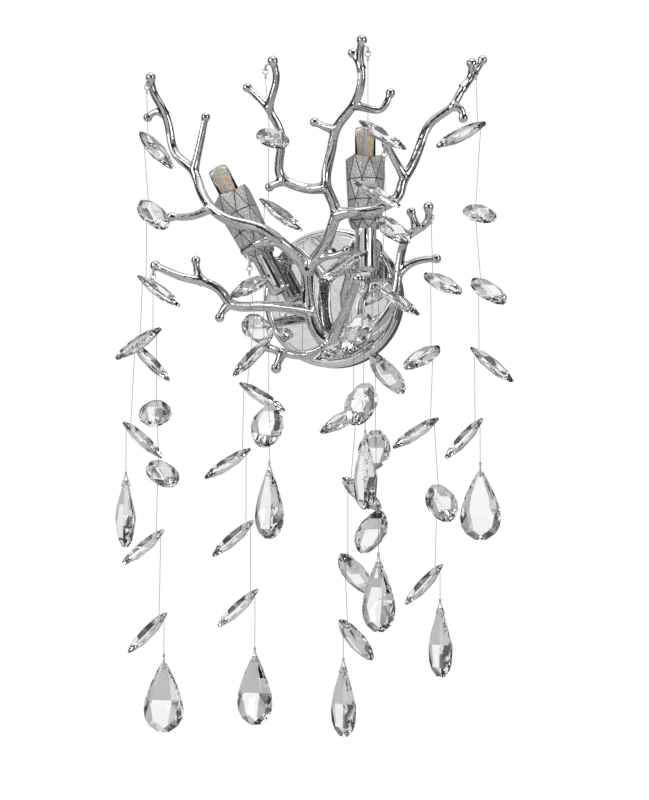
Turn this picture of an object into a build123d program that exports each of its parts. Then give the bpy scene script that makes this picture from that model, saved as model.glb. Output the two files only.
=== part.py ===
# Crystal wall sconce: a round wall canopy, a cast tree of branches, two capsule lamps in faceted sleeves,
# and ten thread strands of leaf crystals, nine of them with a drop crystal at the end.
# Millimetres, +Z up. The origin is the centre of the canopy's back face on the wall, and -Y points into the room.
from build123d import *
import os
from math import cos, sin, pi, radians, hypot, ceil

# ---- wall side ----
CANOPY_RADIUS = 55.0
CANOPY_DEPTH = 26.0
CANOPY_WALL = 1.2
CANOPY_EDGE = 3.0              # rounded front edge, in two slopes
CANOPY_BEAD = 0.9              # how far the rolled bead stands proud of the side wall
BEAD_HEIGHT = 18.0             # from the wall
BEAD_WIDTH = 2.4
CANOPY_SIDES = 48              # flats round the canopy
CANOPY_SCREW_RADIUS = 2.0
CANOPY_SCREW_LENGTH = 8.0
BRACKET_WIDTH = 20.0
BRACKET_THICKNESS = 1.5
BRACKET_GAP = 0.3              # between the bracket's bent ends and the canopy's side wall
BRACKET_TAB_DEPTH = 16.0
BRACKET_SCREW_DEPTH = 10.0     # of the side screws, from the wall
SLOT_SPACING = 60.0
SLOT_WIDTH = 5.0
SLOT_LENGTH = 12.0
TERMINAL_SIZE = (26.0, 10.0, 12.0)
TERMINAL_BORE_RADIUS = 1.6
TERMINAL_PITCH = 8.0

# ---- hub ----
HUB = (4.0, -52.0, -41.0)
HUB_RADIUS = 7.0
POST_RADIUS = 5.0
STUD_RADIUS = 3.0
STUD_CLEARANCE = 0.2
NUT_RADIUS = 5.0
NUT_THICKNESS = 5.0

# ---- branches ----
CASTING_SIDES = 8              # flats round every cast branch
STATION_STEP = 16.0            # spacing of the sections along a branch
BUD_RADIUS = 4.2               # swollen end of a branch
TWIG_BUD_RADIUS = 3.8
TIP_HOLE_RADIUS = 0.8          # drilled through the free tips
EYE_RADIUS = 2.5
EYE_HOLE_RADIUS = 1.3
EYE_THICKNESS = 1.2
EYE_ROD_RADIUS = 0.8           # from the eyelet up into its bud
BUD_SETBACK = 2.4              # from a hook back to its bud
APPROACH_SETBACK = 6.0         # from a hook back to the branch that climbs past it

# ---- strands ----
RING_BORE_RADIUS = 1.7
RING_WIRE = 0.8
RING_OFFSET = 0.8              # from the eye's lower edge down to the centre of the ring that hangs on it
CRIMP_RADIUS = 0.9
CRIMP_LENGTH = 3.0
THREAD_RADIUS = 0.2
THREAD_SIDES = 3
THREAD_BEND_RADIUS = 2.4
LEAF_LENGTH = 42.0
LEAF_HALF_WIDTH = 12.5
LEAF_HALF_THICKNESS = 4.6
LEAF_HOLE_INSET = 5.5
LEAF_HOLE_RADIUS = 1.0
HOLE_SIDES = 6
DROP_LENGTH = 52.0
DROP_HALF_WIDTH = 15.6
DROP_HALF_THICKNESS = 5.6
DROP_HOLE_INSET = 4.3
DROP_HOLE_RADIUS = 0.85
CLIP_WIRE = 0.8
CLIP_HALF_WIDTH = 3.1          # inside the triangle, along its lower bar
CLIP_HEIGHT = 7.6              # inside the triangle

# ---- lamps ----
LAMP_RIGHT_FOOT = (34.0, -62.0, 15.0)
LAMP_RIGHT_AXIS = (0.0, 0.0, 1.0)
LAMP_LEFT_FOOT = (-34.0, -55.0, 1.0)
LAMP_LEFT_AXIS = (-52.0, 0.0, 99.0)
TUBE_RADIUS = 8.4
TUBE_WALL = 0.8
TUBE_LENGTH = 57.0
TUBE_FOOT = 4.0                # rounded foot, in two slopes
SOCKET_CLEARANCE = 0.1
SOCKET_DEPTH = 22.0            # inside the tube
SOCKET_FLANGE = 1.5
PIN_HOLE_RADIUS = 0.8
PIN_RADIUS = 0.5
PIN_LENGTH = 6.0
PIN_SPACING = 9.0
LAMP_SIDES = 20                # flats round the tubes, sockets and bulbs
PIN_SIDES = 8
SLEEVE_SIDES = 8
SLEEVE_WALL = 1.0
SLEEVE_START = 32.0            # from the foot of the tube
SLEEVE_RINGS = ((0.0, 8.4), (1.2, 11.0), (7.0, 13.4), (23.0, 14.4), (39.0, 15.2), (55.0, 15.9))
SLEEVE_PETAL = 2.5             # how far every second corner of the rim stands up
BULB_RADIUS = 8.0
BULB_WALL = 0.8
BULB_LENGTH = 54.0             # from the socket's face to the top of the capsule
BULB_BASE_HEIGHT = 4.0
BULB_PLUG_HEIGHT = 8.0         # part of the base that fills the capsule's mouth
BOARD_WIDTH = 9.0
BOARD_THICKNESS = 2.4
BOARD_LENGTH = 36.0
CHIP_SIZE = 2.4
CHIP_HEIGHT = 0.5
CHIP_PITCH = 5.0
CHIP_COUNT = 5
ARM_RADIUS = 4.0


def ring_plane(place, direction, reference=(0, 1, 0)):
    """A plane across a direction, turned the same way all along a branch."""
    across = Vector(*reference).cross(direction)
    return Plane(origin=place, x_dir=across, z_dir=direction)


def polygon(radius, sides):
    """A polygon with its flats at the given radius."""
    return RegularPolygon(radius, sides, major_radius=False)


def ring_of(plane, radius, sides):
    """The corners of a polygon whose flats lie at the given radius."""
    reach = radius / cos(pi / sides)
    angles = [2 * pi * index / sides for index in range(sides)]
    return [plane.from_local_coords((reach * cos(angle), reach * sin(angle), 0)) for angle in angles]


def flat_face(corners):
    return Face(Wire.make_polygon(corners, close=True))


def panel(corners):
    """One flat face through four corners where one fits, or two triangles."""
    first, second, third, fourth = corners
    normal = (second - first).cross(fourth - first).normalized()
    if abs((third - first).dot(normal)) < 1e-5:
        return [flat_face(corners)]
    return [flat_face([first, second, third]), flat_face([first, third, fourth])]


def skin(rings):
    """A solid with flat faces through a row of rings that have the same number of corners."""
    faces = [flat_face(rings[0]), flat_face(rings[-1])]
    for lower, upper in zip(rings, rings[1:]):
        for index, corner in enumerate(lower):
            following = (index + 1) % len(lower)
            faces += panel([corner, lower[following], upper[following], upper[index]])
    return Solid(Shell(faces))


def limb(points, root_radius, neck_radius, bud_radius=0.0):
    """A tapered branch along a smooth path, swelling to a bud whose centre is the last point."""
    path = Spline([Vector(*point) for point in points])
    smooth = path.length - 1.9 * bud_radius
    steps = max(2, ceil(smooth / STATION_STEP))
    rings = []
    for step in range(steps + 1):
        share = step / steps
        radius = root_radius + (neck_radius - root_radius) * share
        where = share * smooth / path.length
        rings.append(ring_of(ring_plane(path @ where, path % where), radius, CASTING_SIDES))
    if bud_radius:
        tip = path @ 1
        heading = path % 1
        for offset, share in ((-0.95, 0.84), (0.0, 1.0), (0.7, 0.74), (1.05, 0.30)):
            place = tip + heading * (offset * bud_radius)
            rings.append(ring_of(ring_plane(place, heading), share * bud_radius, CASTING_SIDES))
    return skin(rings)


def eye(name):
    """An eyelet on a rod below a bud. The hook point is the middle of its lower rim, where a ring hangs."""
    centre = Vector(*HOOKS[name]) + Vector(0, 0, (EYE_HOLE_RADIUS + EYE_RADIUS) / 2)
    flat = Plane(origin=centre, x_dir=(0, 1, 0), z_dir=(1, 0, 0))
    loop = extrude(flat * (polygon(EYE_RADIUS, 8) - polygon(EYE_HOLE_RADIUS, 8)), EYE_THICKNESS / 2, both=True)
    foot = centre + Vector(0, 0, (EYE_HOLE_RADIUS + EYE_RADIUS) / 2)
    way = Vector(*bud(name)) - foot
    rod = extrude(Plane(origin=foot, z_dir=way) * polygon(EYE_ROD_RADIUS, 6), way.length)
    return loop + rod


def bud(name):
    """The centre of the bud that carries a hook's eyelet, above it and to one side."""
    x, y, z = HOOKS[name]
    aside, rise = BUDS[name]
    return (x + aside, y + BUD_SETBACK, z + rise)


def behind(name):
    """A point of the branch on its way up to that bud, behind the ring that hangs there."""
    x, y, z = HOOKS[name]
    aside = BUDS[name][0]
    return (x + 1.4 * aside, y + APPROACH_SETBACK, z - 3)


def drilled(piece, *tips):
    """A branch with a small hole through each of these free tips, from the room to the wall."""
    for tip in tips:
        start = Plane(origin=Vector(*tip) - Vector(0, TWIG_BUD_RADIUS * 2, 0), z_dir=(0, 1, 0))
        piece = piece - extrude(start * polygon(TIP_HOLE_RADIUS, 6), TWIG_BUD_RADIUS * 4)
    return piece


def turned(plane, profile, sides, scale=1.0):
    """A turned piece with flats, through the (height, radius) pairs of its outline."""
    return skin([ring_of(plane.offset(height * scale), radius * scale, sides) for height, radius in profile])


def seat(piece, *neighbours):
    """Cuts a branch to sit on the surface of what carries it."""
    for neighbour in neighbours:
        piece = piece - neighbour
    return piece


# ---- hooks: where the rings hang, on the lower edge of each tab ----
HOOKS = {
    "one": (-140, -70, 166),
    "two": (-125, -101, 11),
    "three": (-36, -104, 166),
    "four": (-55, -75, 19),
    "five": (44, -108, 175),
    "six": (41, -121, -6),
    "seven": (54, -93, 101),
    "eight": (86, -66, 56),
    "nine": (121, -65, 167),
    "ten": (25, -74, 11),
}

# From each hook to the centre of its bud: sideways and up.
BUDS = {
    "one": (2.4, 7.3),
    "two": (1, 7.6),
    "three": (5, 7.6),
    "four": (-4, 13),
    "five": (-5, 10.5),
    "six": (-3, 8),
    "seven": (1.5, 7.1),
    "eight": (-2.5, 7.5),
    "nine": (-3.6, 7.1),
    "ten": (-3, 8),
}

# Each strand: the crystals from the top down as (drop below the hook, +1 points right or -1 left,
# turn towards the room in degrees, droop in degrees, step of the thread to the right above it), then the
# drop of the end crystal's top below the hook
# and the turn of its face. A strand without an end crystal has the drop of its last crimp.
STRANDS = {
    "one": (
        [(39, 1, 20, 48, 1), (92, 1, 50, 40, 4), (152, 1, 5, 36, 0), (206, 1, -15, 45, -2), (268, 1, -20, 42, -3)],
        312, 50,
    ),
    "two": (
        [(42, -1, 5, 34, 0), (97, 1, 78, 30, 0), (143, 1, 60, 29, 2), (197, -1, 15, 40, -1), (261, -1, 15, 46, -1)],
        297, 0,
    ),
    "three": (
        [(45, 1, 65, 30, 3), (100, 1, 10, 38, 0), (157, -1, 60, 28, -2), (206, -1, 20, 46, 0), (259, 1, 86, 50, 0)],
        305, 35,
    ),
    "four": (
        [(38, 1, -92, 26, 4), (91, 1, -12, 32, -5), (142, -1, 10, 33, -1), (198, -1, 15, 41, 0), (251, -1, 10, 43, 0)],
        300, 20,
    ),
    "five": (
        [(53, 1, 4, 33, 0), (98, 1, 6, 30, -2), (151, -1, 10, 35, 0)],
        162, None,
    ),
    "six": (
        [(20, -1, 74, 50, 0), (72, -1, 84, 50, 0)],
        111, 50,
    ),
    "seven": (
        [(49, 1, 50, 36, 1), (101, 1, 6, 35, -1), (155, 1, -55, 43, 0), (213, -1, -75, 42, 0), (274, -1, -55, 48, 0)],
        309, 30,
    ),
    "eight": (
        [(44, 1, 45, 27, 1), (100, -1, 64, 28, 0), (156, -1, 4, 33, -2), (208, 1, 68, 41, 3), (269, -1, 8, 47, -2)],
        300, 50,
    ),
    "nine": (
        [(40, -1, 5, 25, 1), (103, 1, 70, 26, -4), (160, 1, 52, 33, 4), (214, 1, 6, 40, 0), (269, -1, 8, 47, 0)],
        307, 0,
    ),
    "ten": (
        [(49, -1, 48, 24, 0), (103, -1, 50, 28, 0), (157, 1, -50, 36, -4), (216, 1, -62, 46, 0), (266, 1, -48, 48, 2)],
        299, 45,
    ),
}


def canopy():
    """A shell with a rounded front edge and a rolled bead round its side wall, open at the back."""
    wall = Plane(origin=(0, 0, 0), z_dir=(0, -1, 0))
    edge = CANOPY_EDGE
    bead = CANOPY_RADIUS + CANOPY_BEAD
    outline = [
        (0, CANOPY_RADIUS),
        (BEAD_HEIGHT - BEAD_WIDTH / 2, CANOPY_RADIUS),
        (BEAD_HEIGHT, bead),
        (BEAD_HEIGHT + BEAD_WIDTH / 2, CANOPY_RADIUS),
        (CANOPY_DEPTH - edge, CANOPY_RADIUS),
        (CANOPY_DEPTH - 0.3 * edge, CANOPY_RADIUS - 0.3 * edge),
        (CANOPY_DEPTH, CANOPY_RADIUS - edge),
    ]
    inside = [(-1, CANOPY_RADIUS - CANOPY_WALL), (CANOPY_DEPTH - CANOPY_WALL - edge, CANOPY_RADIUS - CANOPY_WALL)]
    inside.append((CANOPY_DEPTH - CANOPY_WALL, CANOPY_RADIUS - CANOPY_WALL - edge))
    body = turned(wall, outline, CANOPY_SIDES) - turned(wall, inside, CANOPY_SIDES)
    stud_hole = Plane(origin=(HUB[0], 0, HUB[2]), z_dir=(0, -1, 0)) * Circle(STUD_RADIUS + STUD_CLEARANCE)
    body -= extrude(stud_hole, CANOPY_DEPTH + 1)
    for side in (1, -1):
        start = Plane(origin=(0, -BRACKET_SCREW_DEPTH, 0), z_dir=(0, 0, side))
        body -= extrude(start * Circle(CANOPY_SCREW_RADIUS + STUD_CLEARANCE), CANOPY_RADIUS + 1)
    return body


def wall_bracket():
    """A flat strip with two screw slots and two bent ends that the canopy's side screws enter."""
    reach = CANOPY_RADIUS - CANOPY_WALL - BRACKET_GAP
    half = BRACKET_WIDTH / 2
    low = -BRACKET_THICKNESS
    strip = Pos(0, low / 2, 0) * Box(BRACKET_WIDTH, BRACKET_THICKNESS, 2 * reach - 2)
    for side in (1, -1):
        tab = Box(BRACKET_WIDTH * 0.6, BRACKET_TAB_DEPTH, BRACKET_THICKNESS)
        strip += Pos(0, -BRACKET_TAB_DEPTH / 2, side * (reach - 1 - BRACKET_THICKNESS / 2)) * tab
        hole = Plane(origin=(0, -BRACKET_SCREW_DEPTH, 0), z_dir=(0, 0, side)) * polygon(CANOPY_SCREW_RADIUS, 12)
        strip -= extrude(hole, CANOPY_RADIUS)
        slot = Plane(origin=(0, 0, side * SLOT_SPACING / 2), x_dir=(0, 0, 1), z_dir=(0, -1, 0))
        strip -= extrude(slot * SlotOverall(SLOT_LENGTH, SLOT_WIDTH), half, both=True)
    return strip


def canopy_screws():
    """Two headless side screws, flush with the canopy's side wall."""
    screws = []
    for side in (1, -1):
        start = Plane(
            origin=(0, -BRACKET_SCREW_DEPTH, side * (CANOPY_RADIUS - CANOPY_SCREW_LENGTH)), z_dir=(0, 0, side)
        )
        screws.append(extrude(start * polygon(CANOPY_SCREW_RADIUS, 12), CANOPY_SCREW_LENGTH - 0.2))
    return screws


def terminal_block():
    """A three-way block on the bracket, with its wire entries on both sides."""
    length, depth, height = TERMINAL_SIZE
    block = Pos(0, -BRACKET_THICKNESS - depth / 2, 0) * Box(length, depth, height)
    for step in (-1, 0, 1):
        entry = Plane(origin=(step * TERMINAL_PITCH, -BRACKET_THICKNESS - depth / 2, 0), z_dir=(0, 0, 1))
        block -= extrude(entry * polygon(TERMINAL_BORE_RADIUS, 8), height, both=True)
    return block


def hub_post():
    """The post that carries the tree, with the stud and nut that hold it on the canopy."""
    def rod(radius, start, end):
        base = Plane(origin=(HUB[0], start, HUB[2]), z_dir=(0, -1, 0))
        return extrude(base * polygon(radius, 16), start - end)

    post = rod(POST_RADIUS, -CANOPY_DEPTH, HUB[1])
    stud = rod(STUD_RADIUS, -CANOPY_DEPTH + CANOPY_WALL + NUT_THICKNESS + 2, -CANOPY_DEPTH)
    inside = -CANOPY_DEPTH + CANOPY_WALL
    base = Plane(origin=(HUB[0], inside + NUT_THICKNESS, HUB[2]), z_dir=(0, -1, 0))
    nut = extrude(base * polygon(NUT_RADIUS, 6), NUT_THICKNESS)
    return post + stud + nut


def trunk(post):
    """The hub ball and the stem that rises from it."""
    stem = limb([HUB, (-5, -54, -30), (-11, -57, -10), (-12, -62, 19)], 6.2, 4.9, 5.6)
    across = Plane(origin=HUB, z_dir=(0, -1, 0))
    ball = turned(across, [(-0.93, 0.38), (-0.6, 0.8), (0, 1), (0.6, 0.8), (0.93, 0.38)], 12, HUB_RADIUS)
    return seat(ball + stem, post)


def branch_upper_left():
    """The long arm to the upper left, with three side twigs and a front one that carries the fourth strand."""
    main = limb(
        [
            (-12, -62, 17), (-17, -67, 25), (-27, -76, 35), (-45, -82, 48), (-67, -82, 54), (-85, -78, 66),
            (-96, -70, 82), (-104, -64, 99), (-113, -61, 107), (-119, -60, 113), (-124, -60, 132),
            (-129, -63, 149), behind("one"), bud("one"),
        ],
        4.6, 2.9, BUD_RADIUS,
    )
    low = limb([(-85, -78, 66), (-98, -80, 60), (-116, -82, 59)], 3.2, 2.6, TWIG_BUD_RADIUS)
    middle = limb([(-103, -64, 98), (-98, -65, 118), (-93, -66, 140)], 3.2, 2.4, TWIG_BUD_RADIUS)
    high = limb([(-126, -61, 143), (-135, -61, 147), (-142, -60, 143)], 2.8, 2.2, TWIG_BUD_RADIUS)
    front = limb([(-29, -77, 37), (-39, -80, 38), (-49, -79, 36), bud("four")], 3.6, 2.8, BUD_RADIUS)
    branch = main + [low, middle, high, front, eye("one"), eye("four")]
    return drilled(branch, (-116, -82, 59), (-93, -66, 140), (-142, -60, 143))


def branch_centre():
    """The middle arm, which forks into two tall stems."""
    right = limb(
        [
            (-12, -62, 17), (-3, -66, 28), (4, -71, 35), (11, -76, 50), (14, -79, 59), (7, -80, 79),
            (11, -82, 107), (16, -86, 123), (27, -92, 135), (35, -98, 146), (38, -101, 160),
            behind("five"), bud("five"),
        ],
        4.6, 2.8, BUD_RADIUS,
    )
    left = limb(
        [
            (7, -80, 79), (-3, -78, 78), (-15, -77, 80), (-29, -78, 88), (-29, -82, 108), (-30, -88, 127),
            (-35, -92, 138), (-33, -95, 147), behind("three"), bud("three"),
        ],
        4.0, 2.6, BUD_RADIUS,
    )
    stub = limb([(-27, -78, 85), (-34, -77, 83), (-39, -76, 81)], 3.0, 2.3, TWIG_BUD_RADIUS)
    left_twig = limb([(-35, -92, 139), (-42, -90, 146), (-54, -88, 157)], 3.0, 2.3, TWIG_BUD_RADIUS)
    middle_twig = limb([(14, -85, 122), (6, -84, 125), (-2, -83, 129)], 3.0, 2.3, TWIG_BUD_RADIUS)
    right_twig = limb([(30, -95, 139), (41, -92, 136), (50, -90, 135), (58, -88, 148)], 3.0, 2.3, TWIG_BUD_RADIUS)
    top_twig = limb([(38, -101, 164), (35, -101, 171), (31, -101, 177)], 2.6, 2.2, TWIG_BUD_RADIUS)
    low_twig = limb([(-8, -64, 21), (4, -70, 26), (14, -74, 27), (22, -76, 30)], 3.0, 2.3, TWIG_BUD_RADIUS)
    twigs = [stub, left_twig, middle_twig, right_twig, top_twig, low_twig]
    branch = right + [left, eye("five"), eye("three")] + twigs
    return drilled(
        branch, (-39, -76, 81), (-54, -88, 157), (-2, -83, 129), (58, -88, 148), (31, -101, 177), (22, -76, 30)
    )


def branch_tall_right():
    """The arm that crosses in front of the right lamp and climbs to the upper right."""
    main = limb(
        [
            (15, -79, 57), (24, -83, 58), (34, -84, 58), (43, -83, 59), (51, -82, 62), (58, -79, 66),
            (63, -77, 72), (65, -76, 80), (70, -74, 90), (80, -72, 114), (87, -70, 128), (103, -67, 141),
            (110, -63, 154), behind("nine"), bud("nine"),
        ],
        4.2, 2.7, BUD_RADIUS,
    )
    left_twig = limb([(67, -75, 85), (61, -81, 96), bud("seven")], 3.2, 2.5, BUD_RADIUS)
    mid_twig = limb([(102, -68, 140), (109, -67, 138), (111, -66, 131)], 2.8, 2.2, TWIG_BUD_RADIUS)
    right_twig = limb([(110, -62, 155), (119, -57, 168), (125, -56, 178)], 2.8, 2.2, TWIG_BUD_RADIUS)
    branch = main + [left_twig, mid_twig, right_twig, eye("nine"), eye("seven")]
    return drilled(branch, (111, -66, 131), (125, -56, 178))


def branch_left():
    """The level arm to the left that carries the second strand."""
    main = limb(
        [
            (-11, -57, -15), (-23, -66, -13), (-38, -76, -12), (-55, -86, -13), (-66, -92, -11), (-72, -95, -3),
            (-85, -98, 5), (-101, -100, 9), (-114, -100, 14), bud("two"),
        ],
        4.4, 2.8, BUD_RADIUS,
    )
    low_twig = limb([(-66, -92, -11), (-71, -93, -16), (-74, -94, -22)], 3.0, 2.3, TWIG_BUD_RADIUS)
    high_twig = limb([(-85, -98, 4), (-90, -98, 12), (-92, -98, 22)], 3.0, 2.3, TWIG_BUD_RADIUS)
    return drilled(main + [low_twig, high_twig, eye("two")], (-74, -94, -22), (-92, -98, 22))


def branch_lower_left():
    """The short arm to the lower left."""
    main = limb([HUB, (-14, -62, -49), (-28, -70, -48), (-40, -76, -44)], 4.0, 2.9, TWIG_BUD_RADIUS)
    twig = limb([(-29, -71, -47), (-32, -73, -54), (-34, -74, -60)], 3.0, 2.6, BUD_RADIUS)
    return drilled(main + twig, (-40, -76, -44), (-34, -74, -60))


def branch_short_right():
    """The arm to the right that carries the eighth strand."""
    main = limb(
        [
            HUB, (21, -56, -36), (37, -57, -29), (48, -57, -19), (56, -57, -5), (59, -57, 16), (62, -58, 32),
            (66, -60, 41), behind("eight"), bud("eight"),
        ],
        4.6, 2.8, BUD_RADIUS,
    )
    right_twig = limb([(59, -57, 14), (70, -54, 22), (88, -51, 25)], 3.2, 2.4, TWIG_BUD_RADIUS)
    left_twig = limb([(74, -61, 47), (72, -62, 54), (70, -63, 60)], 3.0, 2.3, TWIG_BUD_RADIUS)
    return drilled(main + [right_twig, left_twig, eye("eight")], (88, -51, 25), (70, -63, 60))


def branch_inner():
    """Two short arms inside the tree: one rises beside the right lamp, one points into the room."""
    rising = limb(
        [HUB, (14, -56, -26), (18, -60, -12), (18, -65, 0), behind("ten"), bud("ten")],
        4.8, 2.6, BUD_RADIUS,
    )
    front = limb([HUB, (15, -70, -25), (27, -93, -11), bud("six")], 4.2, 3.0, BUD_RADIUS)
    return rising + [front, eye("ten"), eye("six")]


def lamp_place(foot, axis):
    """The frame of a lamp: the foot of its tube, with Z along the lamp."""
    return Plane(origin=foot, x_dir=Vector(0, 1, 0).cross(Vector(*axis)), z_dir=axis)


def lamp_tube():
    """A thin cup with a rounded foot."""
    foot = TUBE_FOOT
    profile = [(0, TUBE_RADIUS - foot), (0.3 * foot, TUBE_RADIUS - 0.3 * foot), (foot, TUBE_RADIUS)]
    outer = turned(Plane.XY, profile + [(TUBE_LENGTH, TUBE_RADIUS)], LAMP_SIDES)
    bore_floor = TUBE_LENGTH - SOCKET_DEPTH - 2
    return outer - Pos(0, 0, bore_floor) * extrude(polygon(TUBE_RADIUS - TUBE_WALL, LAMP_SIDES), TUBE_LENGTH)


def pin_places():
    return [Pos(side * PIN_SPACING / 2, 0, 0) for side in (-1, 1)]


def lamp_socket():
    """A ceramic socket that fills the tube's mouth, with two pin holes."""
    inside = polygon(TUBE_RADIUS - TUBE_WALL - SOCKET_CLEARANCE, LAMP_SIDES)
    body = Pos(0, 0, TUBE_LENGTH - SOCKET_DEPTH) * extrude(inside, SOCKET_DEPTH)
    body += Pos(0, 0, TUBE_LENGTH) * extrude(polygon(TUBE_RADIUS - 0.2, LAMP_SIDES), SOCKET_FLANGE)
    face = TUBE_LENGTH + SOCKET_FLANGE
    pin_hole = extrude(polygon(PIN_HOLE_RADIUS, PIN_SIDES), PIN_LENGTH + 2)
    for place in pin_places():
        body -= place * Pos(0, 0, face - PIN_LENGTH - 1) * pin_hole
    return body


def corner(radius, height, index, half_turn):
    """One corner of a sleeve ring. Rings are turned by half a side from one to the next."""
    angle = radians(360 / SLEEVE_SIDES * (index + half_turn / 2))
    return Vector(radius * cos(angle), radius * sin(angle), height)


def sleeve_skin(inset):
    """The corners of every ring, moved inwards by a wall."""
    rings = []
    last = len(SLEEVE_RINGS) - 1
    for level, (height, radius) in enumerate(SLEEVE_RINGS):
        ring = []
        for index in range(SLEEVE_SIDES):
            petal = SLEEVE_PETAL * (index % 2) if level == last else 0.0
            floor = inset if level == 1 and inset else 0.0
            ring.append(corner(radius - inset, SLEEVE_START + height + petal + floor, index, level % 2))
        rings.append(ring)
    return rings


def band(lower, upper, half_turn):
    """The triangles between two rings that are half a side apart."""
    faces = []
    count = len(lower)
    for index in range(count):
        following = (index + 1) % count
        if half_turn:
            faces.append(flat_face([lower[index], lower[following], upper[following]]))
            faces.append(flat_face([lower[index], upper[following], upper[index]]))
        else:
            faces.append(flat_face([lower[index], lower[following], upper[index]]))
            faces.append(flat_face([lower[following], upper[following], upper[index]]))
    return faces


def lamp_sleeve():
    """A crimped metal sleeve of triangles, closed in at the foot round the tube."""
    outer = sleeve_skin(0.0)
    inner = sleeve_skin(SLEEVE_WALL)[1:]
    collar = [corner(TUBE_RADIUS, SLEEVE_START + SLEEVE_WALL * 2.2, index, 0) for index in range(SLEEVE_SIDES)]
    faces = []
    for level in range(len(outer) - 1):
        faces += band(outer[level], outer[level + 1], level % 2)
    for level in range(len(inner) - 1):
        faces += band(inner[level], inner[level + 1], (level + 1) % 2)
    faces += band(collar, inner[0], 0)
    faces += band_straight(outer[-1], inner[-1])
    faces += band_straight(outer[0], collar)
    return Solid(Shell(faces)) - extrude(polygon(TUBE_RADIUS, LAMP_SIDES), TUBE_LENGTH)


def band_straight(one, other):
    """The faces between two rings whose corners lie one above the other."""
    faces = []
    count = len(one)
    for index in range(count):
        following = (index + 1) % count
        faces.append(flat_face([one[index], one[following], other[following]]))
        faces.append(flat_face([one[index], other[following], other[index]]))
    return faces


def bulb_capsule():
    """A clear tube with a domed top, open at the foot."""
    foot = Plane.XY.offset(TUBE_LENGTH + SOCKET_FLANGE + BULB_BASE_HEIGHT)
    length = BULB_LENGTH - BULB_BASE_HEIGHT
    inner_radius = BULB_RADIUS - BULB_WALL

    def dome(radius, top):
        return [(0, radius), (top - 0.6 * radius, radius), (top - 0.2 * radius, 0.82 * radius), (top, 0.4 * radius)]

    outer = turned(foot, dome(BULB_RADIUS, length), LAMP_SIDES)
    return outer - turned(foot, dome(inner_radius, length - BULB_WALL), LAMP_SIDES)


def bulb_core():
    """The plastic base with its two pins, and the board with two rows of light chips on each face."""
    face = TUBE_LENGTH + SOCKET_FLANGE
    base = Pos(0, 0, face) * extrude(polygon(BULB_RADIUS, LAMP_SIDES), BULB_BASE_HEIGHT)
    inside = polygon(BULB_RADIUS - BULB_WALL - 0.1, LAMP_SIDES)
    plug = Pos(0, 0, face + BULB_BASE_HEIGHT) * extrude(inside, BULB_PLUG_HEIGHT)
    board_foot = face + BULB_BASE_HEIGHT + BULB_PLUG_HEIGHT
    board = Pos(0, 0, board_foot + BOARD_LENGTH / 2) * Box(BOARD_WIDTH, BOARD_THICKNESS, BOARD_LENGTH)
    core = base + plug + board
    for place in pin_places():
        core += place * Pos(0, 0, face - PIN_LENGTH) * extrude(polygon(PIN_RADIUS, PIN_SIDES), PIN_LENGTH)
    for side in (-1, 1):
        for column in (-1, 1):
            for row in range(CHIP_COUNT):
                height = board_foot + BOARD_LENGTH - CHIP_PITCH * (row + 0.8)
                out = side * (BOARD_THICKNESS + CHIP_HEIGHT) / 2
                core += Pos(column * BOARD_WIDTH / 4, out, height) * Box(CHIP_SIZE, CHIP_HEIGHT, CHIP_SIZE)
    return core


def lamp_arms(places):
    """The bent arms that hold the lamp tubes on the canopy."""
    core = extrude(polygon(TUBE_RADIUS, LAMP_SIDES), TUBE_LENGTH)
    left_core, right_core = [place * core for place in places]
    right = limb([(34, -62, 39), (40, -48, 38), (39, -36, 35), (34, -24, 32)], ARM_RADIUS, ARM_RADIUS)
    left = limb([(-46, -55, 24), (-40, -44, 27), (-38, -35, 28), (-37, -24, 27)], ARM_RADIUS, ARM_RADIUS)
    wall_side = Pos(0, -CANOPY_DEPTH / 2, 0) * Box(4 * CANOPY_RADIUS, CANOPY_DEPTH, 4 * CANOPY_RADIUS)
    return [seat(right, wall_side, right_core), seat(left, wall_side, left_core)]


def flat_hexagon(plane, half_width, half_thickness, share):
    """A flattened six-sided section of a crystal: two edges at the girdle and two broad flats."""
    outline = [(1, 0), (0.5, 1), (-0.5, 1), (-1, 0), (-0.5, -1), (0.5, -1)]
    return [plane.from_local_coords((share * half_width * x, share * half_thickness * y, 0)) for x, y in outline]


LEAF_STATIONS = ((0.0, 0.28), (0.24, 0.82), (0.5, 1.0), (0.76, 0.82), (1.0, 0.28))
DROP_STATIONS = ((0.0, 0.14), (0.3, 0.62), (0.66, 1.0), (0.86, 0.86), (1.0, 0.42))


def leaf_crystal():
    """A leaf-shaped crystal with cut ends. X runs along it from its hole, and the hole is on Z."""
    sections = []
    for share, size in LEAF_STATIONS:
        place = Plane(origin=(share * LEAF_LENGTH - LEAF_HOLE_INSET, 0, 0), x_dir=(0, 1, 0), z_dir=(1, 0, 0))
        sections.append(flat_hexagon(place, LEAF_HALF_WIDTH, LEAF_HALF_THICKNESS, size))
    hole = extrude(polygon(LEAF_HOLE_RADIUS, HOLE_SIDES), 2 * LEAF_HALF_THICKNESS, both=True)
    return skin(sections) - hole


def drop_crystal():
    """A drop-shaped crystal. It hangs down -Z from its hole, and the hole is on Y."""
    sections = []
    for share, size in DROP_STATIONS:
        place = Plane(origin=(0, 0, DROP_HOLE_INSET - share * DROP_LENGTH), x_dir=(1, 0, 0), z_dir=(0, 0, -1))
        sections.append(flat_hexagon(place, DROP_HALF_WIDTH, DROP_HALF_THICKNESS, size))
    across = Plane(origin=(0, 0, 0), z_dir=(0, -1, 0))
    hole = extrude(across * polygon(DROP_HOLE_RADIUS, HOLE_SIDES), 2 * DROP_HALF_THICKNESS, both=True)
    return skin(sections) - hole


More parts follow.
